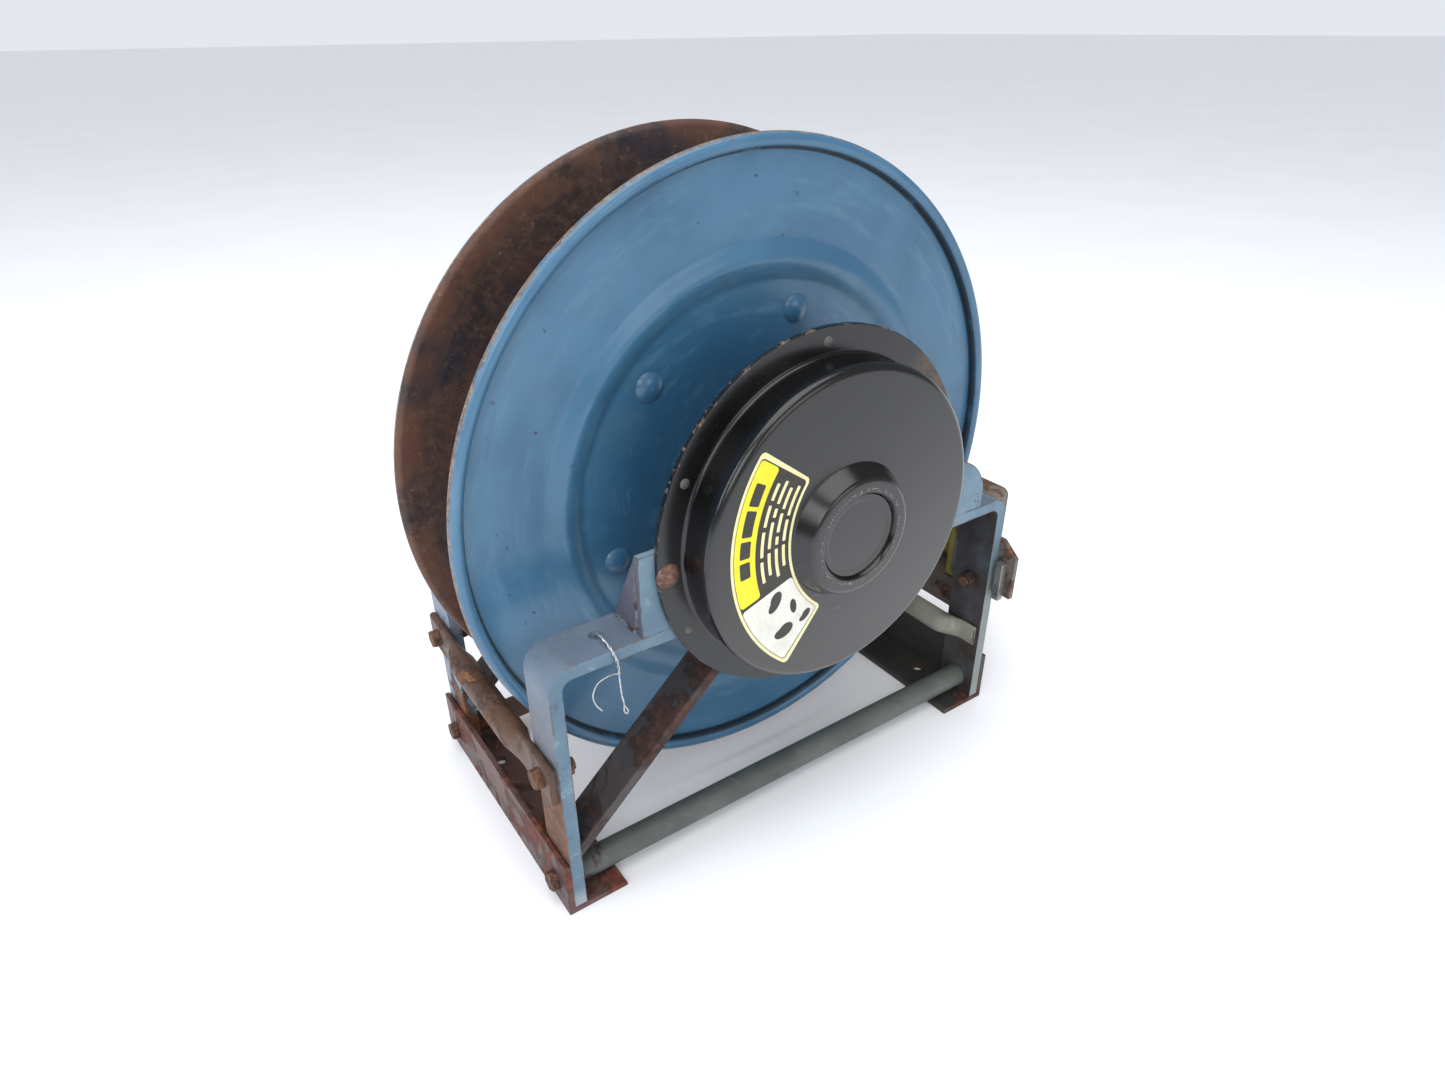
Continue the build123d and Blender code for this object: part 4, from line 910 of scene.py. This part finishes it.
def weld(start, end, radius):
    """Run for cord: a weld bead between two points in millimetres, its ripples and size uneven."""
    first, last = Vector(start) / 1000, Vector(end) / 1000
    count = max(12, int((last - first).length / 0.0007))
    path, radii = [], []
    for step in range(count + 1):
        place = first.lerp(last, step / count)
        drift = noise.noise(place * 90)
        taper = min(1.0, 0.45 + min(step, count - step) / 5)
        ripple = 0.10 * abs(math.sin(step * 0.9))
        path.append(place)
        radii.append(radius / 1000 * taper * (0.92 + ripple + 0.22 * drift))
    return path, radii


# Places of the welds, in millimetres.
bar_top = BAR_TOP * 1000
PLATE_BACK, PLATE_LEFT, PLATE_RIGHT = 118, -142, 139
GUSSET_START, GUSSET_END = 116, 86
GUSSET_EDGES = (-150, -144, 141, 147)
BRACE_NEAR, BRACE_FAR = 118, 90
LEG_INSIDE, BRACE_HEAD_X = -212, -44
weld_runs = []
for side in (-1, 1):
    back = side * PLATE_BACK
    weld_runs.append(weld((PLATE_LEFT, back, bar_top), (PLATE_RIGHT, back, bar_top), 2.4))
    for edge in GUSSET_EDGES:
        start, end = (edge, side * GUSSET_START, bar_top), (edge, side * GUSSET_END, bar_top)
        weld_runs.append(weld(start, end, 2.0))
    for edge, rise in ((-150, 56), (147, 40)):
        weld_runs.append(weld((edge, back, bar_top + 4), (edge, back, bar_top + rise), 1.5))
    for x, z, radius in ((LEG_INSIDE, 59.5, 2.2), (LEG_INSIDE, 46.5, 2.0), (BRACE_HEAD_X, 215, 2.2)):
        weld_runs.append(weld((x, side * BRACE_NEAR, z), (x, side * BRACE_FAR, z), radius))
cord("weld_beads", weld_runs, weld_metal, 10)

# ---- CAD pieces that keep their shape ----
dress("front_frame", frame_paint, 0.0012)
dress("rear_frame", rear_frame_paint, 0.0012)
dress("left_base_angle", base_rust, 0.0008)
dress("right_base_angle", right_base_rust, 0.0008)
dress("front_cross_tube", tube_paint, 0.0004)
dress("rear_cross_tube", side_tube_rust, 0.0004)
dress("front_diagonal_brace", brace_rust, 0.0008)
dress("rear_diagonal_brace", brace_rust, 0.0008)
dress("left_side_tube", side_tube_rust, 0.0005, 40)
dress("base_bolts", fastener_rust, 0.0003)
dress("side_tube_bolts", fastener_rust, 0.0003)
dress("side_tube_nuts", fastener_rust, 0.0003)
dress("front_bearing_bracket", bracket_paint, 0.001)
dress("rear_bearing_bracket", bracket_paint, 0.001)
dress("front_bearing_housing", casting, 0.0006)
dress("rear_bearing_housing", casting, 0.0006)
dress("bearing_bushes", brass, 0.0003)
dress("bearing_bolts", fastener_rust, 0.0003)
dress("bearing_nuts", fastener_rust, 0.0003)
dress("spring_housing_back_plate", black_housing, 0.0003)
dress("housing_cap", black_housing, 0.0004)
dress("housing_rivets", rivet_metal, 0.0)
dress("housing_bolts", bolt_brown, 0.0)
dress("housing_nuts", fastener_rust, 0.0003)
dress("power_spring", blued_spring, 0.0)
dress("drum_core", rust_disc, 0.0004)
dress("axle", steel, 0.0004)
dress("axle_keys", steel, 0.0003)
dress("front_hub", casting, 0.0006)
dress("rear_hub", casting, 0.0006)
dress("hub_bolts", fastener_rust, 0.0003)
dress("hub_nuts", fastener_rust, 0.0003)
dress("tie_bolts", paint_disc, 0.0)
dress("tie_nuts", fastener_rust, 0.0003)
dress("axle_collars", steel, 0.0003)
dress("spring_arbor", steel, 0.0003)
dress("ratchet_wheel", steel, 0.0004)
dress("outlet_riser", right_tube_paint, 0.0004, 40)
dress("pawl", zinc, 0.0005)
dress("pawl_pin", zinc, 0.0004)
dress("swivel_body", brass, 0.0005)
dress("swivel_seals", black_rubber, 0.0)
dress("swivel_screws", steel, 0.0003)
dress("guide_front_bracket", guide_rust, 0.0008)
dress("guide_rear_bracket", guide_rust, 0.0008)
dress("guide_frame", guide_rust, 0.0008)
dress("guide_roller_pins", zinc, 0.0003)
dress("guide_bolts", fastener_rust, 0.0003)
dress("guide_nuts", dark_nut, 0.0003)
dress("guide_clip", zinc, 0.0005)
dress("front_guide_roller", yellow_roller, 0.0)
dress("rear_guide_roller", yellow_roller, 0.0)
dress("lower_guide_roller", yellow_roller, 0.0)
dress("upper_guide_roller", yellow_roller, 0.0)


# ---- stage ----
def stage_floor():
    mesh = bpy.data.meshes.new("floor")
    reach = 40.0
    corners = [(-reach, -reach, 0), (reach, -reach, 0), (reach, reach, 0), (-reach, reach, 0)]
    mesh.from_pydata(corners, [], [(0, 1, 2, 3)])
    g = Graph("floor_white")
    colour = g.mix(g.noise(3.0, 3.0), linear(238, 238, 240), linear(246, 246, 248))
    mesh.materials.append(g.surface(colour, 0.9, 0.0, specular=0.1))
    floor = bpy.data.objects.new("floor", mesh)
    bpy.context.scene.collection.objects.link(floor)


stage_floor()


def softbox(name, place, aim, size, power, tint=(1, 1, 1)):
    light = bpy.data.lights.new(name, "AREA")
    light.shape = "RECTANGLE"
    light.size, light.size_y = size
    light.energy = power
    light.color = tint
    item = bpy.data.objects.new(name, light)
    item.location = place
    item.rotation_mode = "QUATERNION"
    item.rotation_quaternion = (Vector(aim) - Vector(place)).to_track_quat("-Z", "Y")
    bpy.context.scene.collection.objects.link(item)


softbox("overhead", (-0.4, -0.3, 3.2), (0, 0, 0.2), (3.0, 3.0), 70)
softbox("left_front", (-2.6, -2.2, 2.2), (0, 0, 0.25), (1.8, 1.8), 34)
softbox("camera_side", (0.5, -3.2, 1.6), (0, 0, 0.25), (2.0, 1.4), 16)
softbox("left_window", (-2.4, 0.1, 1.5), (0, 0, 0.3), (0.5, 1.5), 16, (0.72, 0.84, 1.0))

WORLD_LIGHT, WORLD_REFLECTED = 0.85, 0.20
world = bpy.data.worlds.new("studio")
bpy.context.scene.world = world
world.use_nodes = True
tree = world.node_tree
tree.nodes.clear()
background = tree.nodes.new("ShaderNodeBackground")
background.inputs["Color"].default_value = (0.92, 0.95, 1.0, 1.0)
ray = tree.nodes.new("ShaderNodeLightPath")
strength = tree.nodes.new("ShaderNodeMapRange")
strength.inputs["To Min"].default_value = WORLD_LIGHT
strength.inputs["To Max"].default_value = WORLD_REFLECTED
tree.links.new(ray.outputs["Is Glossy Ray"], strength.inputs["Value"])
tree.links.new(strength.outputs["Result"], background.inputs["Strength"])
world_out = tree.nodes.new("ShaderNodeOutputWorld")
tree.links.new(background.outputs[0], world_out.inputs["Surface"])

# ---- camera ----
CAMERA_AIM = Vector((-0.03568, -0.0545, 0.23122))
CAMERA_REACH = 0.72585
CAMERA_LENS, CAMERA_SENSOR = 22.79, 36.0
CAMERA_TURN, CAMERA_RISE, CAMERA_ROLL = math.radians(-34.41), math.radians(29.56), math.radians(-0.56)
camera_data = bpy.data.cameras.new("camera")
camera_data.lens = CAMERA_LENS
camera_data.sensor_width = CAMERA_SENSOR
camera_data.clip_start = 0.02
camera = bpy.data.objects.new("camera", camera_data)
bpy.context.scene.collection.objects.link(camera)
level_reach = math.cos(CAMERA_RISE)
back = Vector((math.sin(CAMERA_TURN), -math.cos(CAMERA_TURN), 0)) * level_reach
back.z = math.sin(CAMERA_RISE)
level = Vector((0, 0, 1)).cross(back).normalized()
lean = back.cross(level)
right = level * math.cos(CAMERA_ROLL) + lean * math.sin(CAMERA_ROLL)
up = lean * math.cos(CAMERA_ROLL) - level * math.sin(CAMERA_ROLL)
facing = Matrix((right, up, back)).transposed().to_4x4()
camera.matrix_world = Matrix.Translation(CAMERA_AIM + back * CAMERA_REACH) @ facing
bpy.context.scene.camera = camera
bpy.context.scene.view_settings.view_transform = "Standard"
